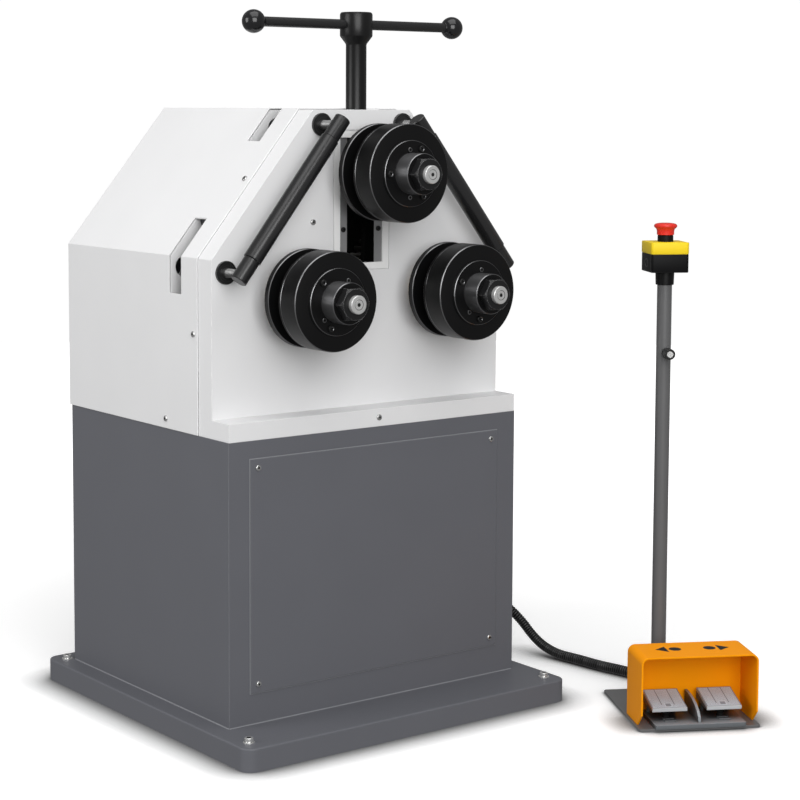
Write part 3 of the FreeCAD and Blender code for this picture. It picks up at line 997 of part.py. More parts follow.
def make_conduit():
    """Straight runs joined by arcs that touch both, swept with a round section, and a gland at each end."""
    route = conduit_route()
    edges = []
    here = route[0]
    for before, corner, after in zip(route, route[1:], route[2:]):
        incoming, outgoing = corner - before, after - corner
        reach = 0.45 * min(incoming.Length, outgoing.Length)
        turn = incoming.getAngle(outgoing)
        print(f"conduit bend: turn {math.degrees(turn):.1f} degrees, radius {reach / math.tan(turn / 2):.0f} mm")
        enter = corner - Vector(incoming).normalize() * reach
        leave = corner + Vector(outgoing).normalize() * reach
        inner = Vector(outgoing).normalize() - Vector(incoming).normalize()
        edges.append(Part.makeLine(here, enter))
        edges.append(Part.Arc(enter, corner + inner.normalize() * bow(reach, turn), leave).toShape())
        here = leave
    edges.append(Part.makeLine(here, route[-1]))
    path = Part.Wire(edges)
    radius = size("conduit_radius")
    section = Part.Wire(Part.makeCircle(radius, route[0], route[1] - route[0]))
    tube = doc.addObject("Part::Feature", "conduit_tube")
    tube.Shape = path.makePipeShell([section], True, False, 2)
    expected = math.pi * radius ** 2 * path.Length
    print(f"conduit volume {tube.Shape.Volume:.0f}, section times length {expected:.0f},"
          f" lowest {tube.Shape.BoundBox.ZMin:.2f}")
    node(tube, "conduit")
    cabinet_end = turned_body("cabinet_gland", gland_profile("gland_length"),
                              ("cabinet_width / 2", "gland_y", "gland_height"), Rotation(Y_AXIS, 90))
    guard_end = turned_body("guard_gland", gland_profile("guard_gland_length"),
                            ("guard_gland_x", "guard_back", "guard_gland_height"), Rotation(X_AXIS, -90))
    carried = place(group("guard_gland_carried", guard_end), PEDESTAL, STAND_TURN)
    node(group("glands", cabinet_end, carried), "conduit_glands")


def bow(reach, turn):
    """Distance from a corner to the middle of the arc that rounds it."""
    radius = reach / math.tan(turn / 2)
    return radius / math.cos(turn / 2) - radius


make_base()
make_cabinet()
make_frame()
make_casing()
make_cover_screws()
make_shafts()
make_rolls()
make_gears()
make_drive()
make_slide()
make_handle()
make_guides()
make_stand()
make_stop_button()
make_foot_switch()
make_guard()
make_conduit()
doc.recompute()

os.makedirs("parts", exist_ok=True)
for thing in doc.Objects:
    if "Invalid" in thing.State or "Error" in thing.State:
        raise RuntimeError(f"{thing.Name} did not build: {thing.State}")
for thing in nodes:
    shape = thing.Shape
    if shape.isNull() or not shape.isValid() or not shape.Solids:
        raise RuntimeError(f"{thing.Label} is not a sound solid")
    if shape.Volume <= 0:
        raise RuntimeError(f"{thing.Label} has no volume")
for thing in nodes:
    thing.Shape.exportStep(os.path.join("parts", thing.Label + ".step"))
print(len(nodes), "sub-parts written")
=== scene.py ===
import math

import bmesh
import bpy
from mathutils import Matrix, Vector


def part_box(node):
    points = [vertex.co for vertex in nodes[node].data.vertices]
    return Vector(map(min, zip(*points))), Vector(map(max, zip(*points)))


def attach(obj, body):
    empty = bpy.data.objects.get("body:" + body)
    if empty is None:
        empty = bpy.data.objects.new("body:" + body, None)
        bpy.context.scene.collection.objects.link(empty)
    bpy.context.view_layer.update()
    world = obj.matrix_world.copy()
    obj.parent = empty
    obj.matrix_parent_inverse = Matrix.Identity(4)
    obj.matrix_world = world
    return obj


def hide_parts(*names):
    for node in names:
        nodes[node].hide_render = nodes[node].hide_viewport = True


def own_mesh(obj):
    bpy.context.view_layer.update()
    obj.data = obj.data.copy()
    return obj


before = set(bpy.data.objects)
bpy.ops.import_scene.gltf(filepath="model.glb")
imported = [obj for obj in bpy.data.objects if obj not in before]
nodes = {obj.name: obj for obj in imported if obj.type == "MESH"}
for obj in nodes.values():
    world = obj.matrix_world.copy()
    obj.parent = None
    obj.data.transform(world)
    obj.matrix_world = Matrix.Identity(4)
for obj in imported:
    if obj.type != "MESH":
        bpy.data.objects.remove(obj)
scene = bpy.context.scene
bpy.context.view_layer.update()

# ------------------------------------------------------------------ camera, floor and lights
# A pale studio: seamless white floor and backdrop, a large soft light in front on the left, one
# overhead and a third on the left side, so that black steel keeps its depth.
ahead_turn, ahead_tip, lean = (math.radians(angle) for angle in (37.0316, -5.3242, 0.225))
ahead = Vector((math.sin(ahead_turn) * math.cos(ahead_tip), math.cos(ahead_turn) * math.cos(ahead_tip),
                math.sin(ahead_tip)))
level = Vector((math.cos(ahead_turn), -math.sin(ahead_turn), 0))
rise = level.cross(ahead)
rightward = level * math.cos(lean) + rise * math.sin(lean)
upward = rise * math.cos(lean) - level * math.sin(lean)
camera = bpy.data.objects.new("camera", bpy.data.cameras.new("camera"))
film_width, focal_in_widths = 36, 2.49890675
camera.data.sensor_width, camera.data.lens = film_width, film_width * focal_in_widths
camera.data.shift_x, camera.data.shift_y = 0.0266, -0.13
camera.data.clip_end = 120
camera.matrix_world = (Matrix.Translation((-2.1908, -3.1486, 1.1311))
                       @ Matrix((rightward, upward, -ahead)).transposed().to_4x4())
scene.collection.objects.link(camera)
scene.camera = camera
scene.view_settings.view_transform = "Standard"


def feed(node, sockets):
    """Set a node's sockets to values, or link them to outputs of other nodes."""
    for socket, source in sockets.items():
        if isinstance(source, bpy.types.NodeSocket):
            node.id_data.links.new(source, node.inputs[socket])
        else:
            node.inputs[socket].default_value = source


def add(tree, kind, output, sockets=None, **settings):
    """A new shader node with its settings and sockets, given by one of its outputs."""
    node = tree.nodes.new("ShaderNode" + kind)
    for setting, value in settings.items():
        setattr(node, setting, value)
    feed(node, sockets or {})
    return node.outputs[output]


scene.world = bpy.data.worlds.new("studio_air")
scene.world.use_nodes = True
feed(scene.world.node_tree.nodes["Background"], {"Color": (1, 1, 1, 1), "Strength": 0.27})


def softbox(name, place, aim, width, height, power):
    """A rectangular soft light that faces a point."""
    light = bpy.data.lights.new(name, "AREA")
    light.shape, light.size, light.size_y, light.energy = "RECTANGLE", width, height, power
    lamp = bpy.data.objects.new(name, light)
    lamp.location = place
    lamp.rotation_euler = (Vector(place) - Vector(aim)).to_track_quat("Z", "Y").to_euler()
    scene.collection.objects.link(lamp)


softbox("key_softbox", (-2.0, -4.6, 2.1), (0, 0, 0.7), 3.4, 3.2, 167)
softbox("top_softbox", (-0.4, -1.2, 4.7), (0, 0, 0.5), 4.0, 4.0, 108)
softbox("left_softbox", (-4.4, 0.8, 1.8), (0, 0, 0.7), 2.2, 2.6, 77)


def studio_piece(name, mesh):
    """A piece of the studio itself, and its finish's nodes."""
    piece = bpy.data.objects.new(name, bpy.data.meshes.new(name))
    mesh.to_mesh(piece.data)
    mesh.free()
    scene.collection.objects.link(piece)
    made = bpy.data.materials.new(name)
    made.use_nodes = True
    piece.data.materials.append(made)
    return piece, made.node_tree


floor_mesh = bmesh.new()
bmesh.ops.create_circle(floor_mesh, cap_ends=True, segments=96, radius=6)
floor, tree = studio_piece("studio_floor", floor_mesh)
# The floor glows, dimmer near the machine and white further out, and ambient occlusion darkens its colour and glow
# close to the machine, a painted contact shadow.
dim_within, white_beyond, contact_reach = 0.7, 2.8, 0.07
from_middle = add(tree, "VectorMath", "Value", {0: add(tree, "TexCoord", "Object")}, operation="LENGTH")
glow = add(tree, "MapRange", "Result", {"From Min": dim_within, "From Max": white_beyond, "To Min": 0.36,
                                        "To Max": 1.0, "Value": from_middle}, interpolation_type="SMOOTHSTEP")
open_air = add(tree, "AmbientOcclusion", "AO", {"Distance": contact_reach}, samples=12)
painted_contact_shadow = add(tree, "Math", "Value", {0: open_air, 1: 3.2}, operation="POWER")
feed(tree.nodes["Principled BSDF"], {
    "Roughness": 0.8, "Specular IOR Level": 0.05, "Emission Color": (1, 1, 1, 1),
    "Emission Strength": add(tree, "Math", "Value", {0: painted_contact_shadow, 1: glow}, operation="MULTIPLY"),
    "Base Color": add(tree, "Mix", "Result", {"A": (0.05, 0.05, 0.052, 1), "B": (0.86, 0.86, 0.86, 1),
                                              "Factor": painted_contact_shadow}, data_type="RGBA")})
floor.visible_diffuse = floor.visible_glossy = False
backdrop_mesh = bmesh.new()
bmesh.ops.create_uvsphere(backdrop_mesh, u_segments=64, v_segments=32, radius=44)
backdrop, tree = studio_piece("studio_backdrop", backdrop_mesh)
feed(tree.nodes["Principled BSDF"], {"Base Color": (0, 0, 0, 1), "Emission Color": (1, 1, 1, 1),
                                     "Emission Strength": 1.0})
backdrop.visible_diffuse = backdrop.visible_glossy = backdrop.visible_shadow = False
backdrop.visible_transmission = False

# ------------------------------------------------------------------ conduit
# Corrugated black plastic conduit between the cabinet and the pedals. It leaves a gland level,
# falls to the floor in one lazy bend, and rises a little into the guard's gland.
conduit_route = [
    (0.358, 0.062, 0.118), (0.404, 0.062, 0.118), (0.455, 0.045, 0.117), (0.503, 0.010, 0.108),
    (0.529, -0.033, 0.074), (0.541, -0.081, 0.026), (0.546, -0.136, 0.0106), (0.554, -0.192, 0.0114),
    (0.560, -0.249, 0.0103), (0.571, -0.306, 0.0112), (0.580, -0.362, 0.0104), (0.585, -0.410, 0.0164),
    (0.575, -0.458, 0.0175), (0.564, -0.500, 0.0258), (0.55125, -0.52986, 0.032),
    (0.53492, -0.55968, 0.032),
]
conduit_radius = 0.010
ridge_pitch = 0.0052
ridge_depth = 0.0017
conduit_sides, crest_above = 20, 0.62


def finish(name, colour, roughness, metal=0.0, gloss=0.5, mottle=0.05, grain=0.0, grain_size=0.002, bump=0.3,
           turned_lines=0.0, sheen=0.0, edge_highlight=None, edge_round=0.0012, shade_box=None, corner_shade=0.0, coat=0.0):
    """A procedural finish: base colour with a slight mottle, uneven roughness and a fine surface grain.
    turned_lines adds a lathe's fine rings about the piece's own Z, and sheen draws its highlights out
    across them. An edge colour lightens the edges towards it, a painted highlight, and shades them as
    rounds of the given size. A shade box blackens what lies between its two corners, and a corner shade
    distance darkens what is shut in within it, both painted shade."""
    made = bpy.data.materials.new(name)
    made.use_nodes = True
    made.diffuse_color = (*colour, 1)
    tree = made.node_tree
    shader = tree.nodes["Principled BSDF"]
    feed(shader, {"Metallic": metal, "Specular IOR Level": gloss, "Coat Weight": coat, "Coat Roughness": 0.12})
    if sheen:
        around = add(tree, "Tangent", "Tangent", direction_type="RADIAL", axis="Z")
        feed(shader, {"Anisotropic": sheen, "Anisotropic Rotation": 0.25, "Tangent": around})
    place = add(tree, "TexCoord", "Object")
    cloud = add(tree, "TexNoise", "Fac", {"Scale": 9.0, "Detail": 5.0, "Vector": place})
    tint = add(tree, "Mix", "Result", {"A": (*(max(0.0, c * (1 - mottle)) for c in colour), 1),
                                       "B": (*(min(1.0, c * (1 + mottle)) for c in colour), 1),
                                       "Factor": cloud}, data_type="RGBA")
    height = add(tree, "TexNoise", "Fac", {"Scale": 1.0 / grain_size, "Detail": 3.0, "Vector": place})
    feed(shader, {"Roughness": add(tree, "MapRange", "Result", {
        "To Min": roughness * 0.85, "To Max": min(1.0, roughness * 1.15), "Value": cloud})})
    # Edges are lightened towards the edge colour, a painted highlight, and the rounded normal shades them as
    # rounds.
    if edge_highlight:
        rounded = add(tree, "Bevel", "Normal", {"Radius": edge_round}, samples=6)
        match = add(tree, "VectorMath", "Value", {0: rounded, 1: add(tree, "NewGeometry", "Normal")},
                    operation="DOT_PRODUCT")
        edge = add(tree, "MapRange", "Result", {"From Min": 0.99, "From Max": 0.86, "Value": match})
        tint = add(tree, "Mix", "Result", {"A": tint, "B": (*edge_highlight, 1), "Factor": edge}, data_type="RGBA")
    # Inside the box the colour goes near black, a painted shade.
    if shade_box:
        low, high = (Vector(corner) for corner in shade_box)
        away = add(tree, "VectorMath", "Vector", {0: place, 1: (low + high) / 2}, operation="SUBTRACT")
        reach = add(tree, "VectorMath", "Vector", {0: away}, operation="ABSOLUTE")
        room = add(tree, "VectorMath", "Vector", {0: (high - low) / 2, 1: reach}, operation="SUBTRACT")
        ways = add(tree, "SeparateXYZ", "X", {"Vector": room}).node.outputs
        least = add(tree, "Math", "Value", {0: ways["X"], 1: ways["Y"]}, operation="MINIMUM")
        least = add(tree, "Math", "Value", {0: least, 1: ways["Z"]}, operation="MINIMUM")
        in_shade_box = add(tree, "Math", "Value", {0: least, 1: 0.0}, operation="GREATER_THAN")
        tint = add(tree, "Mix", "Result", {"A": tint, "B": (0.004, 0.004, 0.004, 1), "Factor": in_shade_box},
                   data_type="RGBA")
    # Ambient occlusion darkens the colour where the surface is shut in, a painted shade.
    if corner_shade:
        shut_in = add(tree, "AmbientOcclusion", "Color", {"Distance": corner_shade, "Color": tint},
                      samples=8).node.outputs
        tint = add(tree, "Mix", "Result", {"A": shut_in["Color"], "B": shut_in["AO"], "Factor": 1.0},
                   data_type="RGBA", blend_type="MULTIPLY")
    feed(shader, {"Base Color": tint})
    if turned_lines:
        lines = add(tree, "TexWave", "Fac", {"Scale": 0.35 / turned_lines, "Distortion": 0.4, "Vector": place},
                    wave_type="RINGS", rings_direction="Z")
        height = add(tree, "Math", "Value", {0: lines, 1: 0.6, 2: height}, operation="MULTIPLY_ADD")
    if grain or turned_lines:
        relief = {"Strength": bump, "Distance": grain or 0.00002, "Height": height}
        if edge_highlight:
            relief["Normal"] = rounded
        feed(shader, {"Normal": add(tree, "Bump", "Normal", relief)})
    return made


def settle(name, mesh, finishes, body, where=Matrix(), stands_for=(), sharp=30):
    """Turn a bmesh into a piece: put it in place, shade it smooth between its sharp edges and hand it over."""
    bmesh.ops.recalc_face_normals(mesh, faces=mesh.faces)
    for face in mesh.faces:
        face.smooth = True
    for edge in mesh.edges:
        edge.smooth = len(edge.link_faces) == 2 and edge.calc_face_angle(0) < math.radians(sharp)
    piece = bpy.data.objects.new(name, bpy.data.meshes.new(name))
    mesh.to_mesh(piece.data)
    mesh.free()
    for made in finishes:
        piece.data.materials.append(made)
    scene.collection.objects.link(piece)
    piece.matrix_world = where
    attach(piece, body)
    if stands_for:
        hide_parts(*stands_for)
    return piece


def dress(made, *names):
    """Give CAD nodes a finish."""
    for name in names:
        data = nodes[name].data
        data.materials.clear()
        data.materials.append(made)


def bridge(mesh, low, high, finish_index=0):
    """Skin two closed rings of points together."""
    for k in range(len(low)):
        n = (k + 1) % len(low)
        mesh.faces.new((low[k], low[n], high[n], high[k])).material_index = finish_index


line_curve = bpy.data.curves.new("conduit_line", "CURVE")
line_curve.dimensions = "3D"
line_curve.resolution_u = 84
line_spline = line_curve.splines.new("NURBS")
line_spline.points.add(len(conduit_route) - 1)
for point, spot in zip(line_spline.points, conduit_route):
    point.co = (*spot, 1)
line_spline.order_u = 3
line_spline.use_endpoint_u = True
line_object = bpy.data.objects.new("conduit_line", line_curve)
line_mesh = bpy.data.meshes.new_from_object(line_object)
centreline = [vertex.co.copy() for vertex in line_mesh.vertices]
bpy.data.objects.remove(line_object)
bpy.data.meshes.remove(line_mesh)

conduit_mesh = bmesh.new()
side = Vector((0, 1, 0))
along, rings, crests = 0.0, [], []
for index, centre in enumerate(centreline):
    ahead_of = centreline[min(index + 1, len(centreline) - 1)] - centreline[max(index - 1, 0)]
    ahead_of.normalize()
    side = (side - ahead_of * side.dot(ahead_of)).normalized()
    other = ahead_of.cross(side)
    if index:
        along += (centre - centreline[index - 1]).length
    swell = 0.5 + 0.5 * math.cos(2 * math.pi * along / ridge_pitch)
    radius = conduit_radius - ridge_depth * (1 - swell ** 0.6)
    crests.append(int(swell > crest_above))
    turns = [2 * math.pi * k / conduit_sides for k in range(conduit_sides)]
    rings.append([conduit_mesh.verts.new(centre + (side * math.cos(turn) + other * math.sin(turn)) * radius)
                  for turn in turns])
for ring, following, crest in zip(rings, rings[1:], crests):
    bridge(conduit_mesh, ring, following, crest)
for ring in (rings[0], rings[-1]):
    conduit_mesh.faces.new(ring)
# The ridge crests take a lighter, glossier finish than the valleys, a painted highlight.
conduit_black = finish("conduit_black", (0.0025, 0.0025, 0.0026), 0.5, gloss=0.12, grain=0.00004,
                       grain_size=0.0009)
crest_highlight = finish("crest_highlight", (0.022, 0.022, 0.023), 0.28, gloss=0.6, mottle=0.5, grain=0.00006,
                     grain_size=0.0022)
conduit = settle("conduit_run", conduit_mesh, [conduit_black, crest_highlight], "machine",
                 stands_for=["conduit"], sharp=60)
dress(finish("gland_black", (0.014, 0.014, 0.015), 0.4, gloss=0.35, grain=0.00003, grain_size=0.0012),
      "conduit_glands")

# ------------------------------------------------------------------ base plate and levelling bolts
# Thick steel plate under the cabinet, in the cabinet's dark grey paint. Four plated levelling
# bolts with hexagon sockets sit on washers near its corners.
# The cabinet grey's edges are lightened, a painted highlight.
cabinet_grey = finish("cabinet_grey", (0.125, 0.128, 0.143), 0.46, gloss=0.25, mottle=0.035, grain=0.00005,
                      grain_size=0.0016, bump=0.25, edge_highlight=(0.20, 0.205, 0.22), edge_round=0.0022)
dress(cabinet_grey, "base_plate")
zinc_plate = finish("zinc_plate", (0.70, 0.70, 0.69), 0.27, metal=0.75, mottle=0.08, grain=0.00002,
                    grain_size=0.0006)


def put(mesh, where, start):
    """Move what a mesh has gained since it had start points."""
    mesh.verts.ensure_lookup_table()
    bmesh.ops.transform(mesh, matrix=where, verts=mesh.verts[start:])


def lathe(mesh, profile, sides=72, centre=(0.0, 0.0), finish_of=None, where=None):
    """Turn a profile of (height, radius) about Z, and put it in place. A profile that ends where it
    starts makes a ring. finish_of gives a band of the profile its own finish."""
    start, loop = len(mesh.verts), profile[0] == profile[-1]
    turned = []
    for height, radius in (profile[:-1] if loop else profile):
        if radius < 1e-7:
            turned.append([mesh.verts.new((*centre, height))])
        else:
            turned.append([mesh.verts.new((centre[0] + radius * math.cos(2 * math.pi * k / sides),
                                           centre[1] + radius * math.sin(2 * math.pi * k / sides), height))
                           for k in range(sides)])
    bands = list(zip(turned, turned[1:] + turned[:1])) if loop else list(zip(turned, turned[1:]))
    for band, (low, high) in enumerate(bands):
        for k in range(max(len(low), len(high))):
            if len(low) == len(high) == 1:
                continue
            corners = [low[k % len(low)], low[(k + 1) % len(low)], high[(k + 1) % len(high)], high[k % len(high)]]
            face = mesh.faces.new(list(dict.fromkeys(corners)))
            if finish_of and band in finish_of:
                face.material_index = finish_of[band]
    if where is not None:
        put(mesh, where, start)


def facing(place, out):
    """A placement at a point whose own Z looks along a direction, and whose own Y stays upright."""
    out = Vector(out).normalized()
    across = Vector((0, 0, 1)).cross(out)
    across = across.normalized() if across.length > 1e-6 else Vector((1, 0, 0))
    return Matrix.Translation(place) @ Matrix((across, out.cross(across), out)).transposed().to_4x4()


def hexagon(across_flats, angle):
    """How far a hexagon reaches from its middle at an angle."""
    return across_flats / 2 / math.cos((angle + math.pi / 6) % (math.pi / 3) - math.pi / 6)


def socket_screw(mesh, where, head, flats, depth, sides=24):
    """A screw head turned from (height, radius) points, with a hexagon socket, its seat at a placement."""
    start, top = len(mesh.verts), head[-1][0]
    lathe(mesh, head, sides)
    mesh.verts.ensure_lookup_table()
    rim = mesh.verts[-sides:]
    points = [(hexagon(flats, turn) * math.cos(turn), hexagon(flats, turn) * math.sin(turn))
              for turn in (2 * math.pi * k / sides for k in range(sides))]
    mouth, floor_of = ([mesh.verts.new((*point, height)) for point in points] for height in (top, top - depth))
    bridge(mesh, rim, mouth)
    bridge(mesh, mouth, floor_of, 1)
    mesh.faces.new(floor_of).material_index = 1
    put(mesh, where, start)


# Sockets, grooves and centre holes take this near-black finish, a painted shade inside them.
socket_shade = finish("socket_shade", (0.012, 0.012, 0.012), 0.6, gloss=0.2)
levelling = bmesh.new()
plate_top, washer_top = 0.042, 0.044
bolt_head = [(0.0, 0.0068), (0.0012, 0.0068), (0.0014, 0.0080), (0.0062, 0.0080), (0.0070, 0.0070),
             (0.0070, 0.0052)]
for across in (-0.340, 0.340):
    for back in (-0.328, 0.328):
        lathe(levelling, [(plate_top, 0.0), (plate_top, 0.0105), (0.0437, 0.0105), (washer_top, 0.0101),
                          (washer_top, 0.0)], sides=40, centre=(across, back))
        socket_screw(levelling, Matrix.Translation((across, back, washer_top)), bolt_head, 0.0074, 0.004)
settle("levelling_screws", levelling, [zinc_plate, socket_shade], "machine",
       stands_for=["levelling_bolts"])

# ------------------------------------------------------------------ cabinet and service panel
# Folded sheet-steel cabinet with a loose service panel on its front, both in the base's dark
# grey paint. The panel is left bare.
dress(cabinet_grey, "cabinet_shell", "service_panel")
# A light grey bead round the cabinet's foot draws a painted highlight line along its seam with the base.
foot_bead = bmesh.new()
bead_ring, corner_round = [], 0.004
for corner_x, corner_y, turn in ((0.328, 0.319, 0), (-0.328, 0.319, 1), (-0.328, -0.247, 2), (0.328, -0.247, 3)):
    middle_x = corner_x - math.copysign(corner_round, corner_x)
    middle_y = corner_y - math.copysign(corner_round, corner_y)
    for step in range(5):
        angle = math.pi / 2 * (turn + step / 4)
        bead_ring.append((middle_x, middle_y, math.cos(angle), math.sin(angle)))
bead_levels = [[foot_bead.verts.new((x + cx * (corner_round + out), y + cy * (corner_round + out), height))
                for x, y, cx, cy in bead_ring]
               for out, height in ((0.0014, 0.0420), (0.0011, 0.0430), (0.0, 0.0434))]
for low, high in zip(bead_levels, bead_levels[1:]):
    bridge(foot_bead, low, high)
bead_highlight = finish("bead_highlight", (0.23, 0.235, 0.25), 0.42, gloss=0.4)
settle("foot_highlight_bead", foot_bead, [bead_highlight], "machine")
# A light grey sheet just larger than the service panel shows round its edges, a painted highlight outline.
panel_outline = bmesh.new()
bmesh.ops.create_cube(panel_outline, size=1)
bmesh.ops.scale(panel_outline, vec=(0.5694, 0.0006, 0.4234), verts=panel_outline.verts)
bmesh.ops.translate(panel_outline, vec=(0, -0.2473, 0.3085), verts=panel_outline.verts)
panel_edge_highlight = finish("panel_edge_highlight", (0.27, 0.275, 0.29), 0.6, gloss=0.3)
settle("panel_highlight_outline", panel_outline, [panel_edge_highlight], "machine")

# ------------------------------------------------------------------ head: front plate and casing
# Heavy front plate with sloping shoulders and a sheet casing behind it, in light grey paint, with
# the lifting slots cut through the casing. The rear plate stands inside.
# The head's edges are lightened to near white, a painted highlight.
head_grey, plate_grey, rear_grey = (
    finish(name, (0.78, 0.78, 0.785), 0.46, gloss=0.25, mottle=0.02, grain=0.00004, grain_size=0.0018, bump=0.2,
           edge_highlight=(0.95, 0.95, 0.95), edge_round=0.0016, shade_box=shade_corners)
    for name, shade_corners in (("head_grey", None), ("plate_grey", ((-0.0500, -0.1885, 0.845), (0.0500, -0.100, 1.085))),
                       ("rear_grey", ((-0.100, -0.300, 0.700), (0.200, 0.400, 1.000)))))
# The front plate's finish goes near black behind the slide window, and the rear plate's across a block of its
# middle, a painted shade of the inside.
dress(head_grey, "head_casing")
dress(plate_grey, "frame_front_plate")
dress(rear_grey, "frame_rear_plate")

# ------------------------------------------------------------------ panel and casing screws
# Small plated button-head screws with a hexagon socket: four on the service panel, one low on the
# front plate's foot, two on its face and three on each side of the casing.
button = [(0.0, 0.0057), (0.0008, 0.0057)]
button += [(0.0008 + 0.0022 * math.sin(t), 0.0037 + 0.0020 * math.cos(t)) for t in (0.35, 0.7, 1.05, 1.4)]
button += [(0.0030, 0.0026)]
screw_spots = [((0.0, -0.247, 0.5685), (0, -1, 0))]
for hand in (-1, 1):
    screw_spots += [
        ((hand * 0.2675, -0.249, 0.114), (0, -1, 0)),
        ((hand * 0.2675, -0.249, 0.503), (0, -1, 0)),
        ((hand * 0.110, -0.192, 0.928), (0, -1, 0)),
        ((hand * 0.3295, -0.136, 0.733), (hand, 0, 0)),
        ((hand * 0.3295, -0.040, 0.570), (hand, 0, 0)),
    ]
slope_height, shoulder_height, shoulder_half = 1.005, 0.868, 0.327
slope_run, slope_rise = 0.217, 0.263
slope_half = shoulder_half - (slope_height - shoulder_height) * slope_run / slope_rise
slope_normal = Vector((slope_rise, 0.0, slope_run)).normalized()
for hand in (-1, 1):
    outward = Vector((hand * slope_normal.x, 0, slope_normal.z))
    seat = Vector((hand * slope_half, -0.130, slope_height)) + outward * 0.0025
    screw_spots.append((seat, outward))
screw_mesh = bmesh.new()
for seat, outward in screw_spots:
    socket_screw(screw_mesh, facing(seat, outward), button, 0.004, 0.0024)
bright_screw = finish("bright_screw", (0.60, 0.60, 0.595), 0.20, metal=0.9, mottle=0.08)
settle("cover_screw_heads", screw_mesh, [bright_screw, socket_shade], "machine",
       stands_for=["cover_screws"])

# ------------------------------------------------------------------ slide window
# Opening in the front plate for the upper shaft's slide, between two ground steel rails screwed
# into it, with the slide block, its bushes and the feed screw behind the upper roll.
# The rails go near black behind the plate's face, a painted shade.
rail_steel = finish("rail_steel", (0.29, 0.29, 0.295), 0.36, metal=0.35, mottle=0.1, grain=0.00002,
                    grain_size=0.0007, shade_box=((-0.060, -0.18785, 0.80), (0.060, -0.100, 1.12)))
slide_steel = finish("slide_steel", (0.10, 0.10, 0.105), 0.40, metal=0.9, mottle=0.12, grain=0.00002,
                     grain_size=0.0008)
bearing_bronze = finish("bearing_bronze", (0.55, 0.36, 0.15), 0.34, metal=1.0, mottle=0.1)
dress(rail_steel, "guide_rails")
dress(slide_steel, "feed_screw", "thrust_collar", "frame_tie_bars")
slide_black = finish("slide_black", (0.003, 0.003, 0.003), 0.75, gloss=0.08, mottle=0.2, grain=0.00004,
                     grain_size=0.0012)
dress(slide_black, "slide_block")
dress(bearing_bronze, "slide_bushes", "lower_shaft_bushes", "spindle_bush")


def ease_edges(width, *names):
    """Break the sharp edges of CAD nodes with a small round that catches the light."""
    for name in names:
        piece = nodes[name]
        weld = piece.modifiers.new("one_skin", "WELD")
        weld.merge_threshold = 0.000002
        ease = piece.modifiers.new("eased_edges", "BEVEL")
        ease.width, ease.segments, ease.limit_method = width, 2, "ANGLE"
        ease.angle_limit = math.radians(38)
        ease.use_clamp_overlap = True
        ease.miter_outer = "MITER_ARC"
        even = piece.modifiers.new("even_shading", "WEIGHTED_NORMAL")
        even.weight = 80


ease_edges(0.0008, "slide_block")
rail_bolts = bmesh.new()
for hand in (-1, 1):
    for height in (0.912, 1.018):
        lathe(rail_bolts, [(0, 0.0048), (0.0026, 0.0048), (0.0032, 0.0042), (0.0032, 0.0025), (0.0008, 0.0023),
                           (0.0008, 0.0)], sides=24, where=facing((hand * 0.040, -0.188, height), (0, -1, 0)))
socket_black = finish("socket_black", (0.007, 0.007, 0.007), 0.35, gloss=0.4, mottle=0.1)
settle("rail_bolts", rail_bolts, [socket_black], "machine")
border = bmesh.new()
outer, inner = (0.0626, 0.8374, 1.0926), (0.0486, 0.8499, 1.0801)
border_rings = [[border.verts.new((sx * half, depth, height))
                 for sx, height in ((-1, low), (1, low), (1, high), (-1, high))]
                for (half, low, high), depth in ((outer, -0.1892), (outer, -0.1912),
                                                 ((0.0622, 0.8378, 1.0922), -0.1916),
                                                 ((0.0489, 0.8496, 1.0804), -0.1916),
                                                 (inner, -0.1912), (inner, -0.1892))]
for low, high in zip(border_rings, border_rings[1:] + border_rings[:1]):
    bridge(border, low, high)
border_white = finish("border_white", (0.86, 0.86, 0.855), 0.42, gloss=0.3, mottle=0.02)
settle("window_border", border, [border_white], "machine")

# ------------------------------------------------------------------ rolls, clamp flanges and nuts
# Three sets on 50 mm shafts: a thin rear disc, a wide front roll with eased rims, a flange with
# a long boss and a hexagon nut, all turned and black-oxided. Bright steel bands on the arrises and
# the nut's lightened edges are painted highlights.
roll_spots = {"left": (-0.160, 0.797), "right": (0.160, 0.797), "upper": (0.0, 1.018)}
bore, roll_radius, flange_radius, boss_radius = 0.0252, 0.0885, 0.0595, 0.0370
across_flats, nut_bore, chamfer_from = 0.055, 0.01602, 0.3885
disc_back, disc_front, roll_back, roll_face, boss_face, nut_face = 0.240, 0.253, 0.284, 0.335, 0.376, 0.393
black_oxide = finish("black_oxide", (0.0036, 0.0036, 0.0038), 0.36, gloss=0.20, mottle=0.18, grain=0.00003,
                     grain_size=0.0009, bump=0.35, turned_lines=0.0011)
# Bright steel bands on the arrises and screw rims, a painted highlight.
arris_highlight = finish("arris_highlight", (0.20, 0.20, 0.205), 0.30, metal=1.0, mottle=0.1)
turned_steel = finish("turned_steel", (0.20, 0.20, 0.205), 0.33, metal=0.9, gloss=0.4, mottle=0.15, grain=0.00002,
                      grain_size=0.0009, bump=0.3, turned_lines=0.0009, sheen=0.8)
# The nut's edges are lightened, a painted highlight.
nut_black = finish("nut_black", (0.006, 0.006, 0.0065), 0.34, gloss=0.45, mottle=0.15, grain=0.00003,
                   grain_size=0.0009, edge_highlight=(0.54, 0.54, 0.55), edge_round=0.0005)
nose_zinc = finish("nose_zinc", (0.56, 0.56, 0.555), 0.30, metal=0.45, mottle=0.06, turned_lines=0.0012, bump=0.5)
cap_screw_angles = {"left": (133, 250, 12), "right": (153, 270, 32), "upper": (64, 180, 302)}
grub_angles = {"left": (60, 225, 315), "right": (85, 235, 340), "upper": (95, 265, 20)}
cap_screw_circle, grub_circle = 0.0485, 0.0425
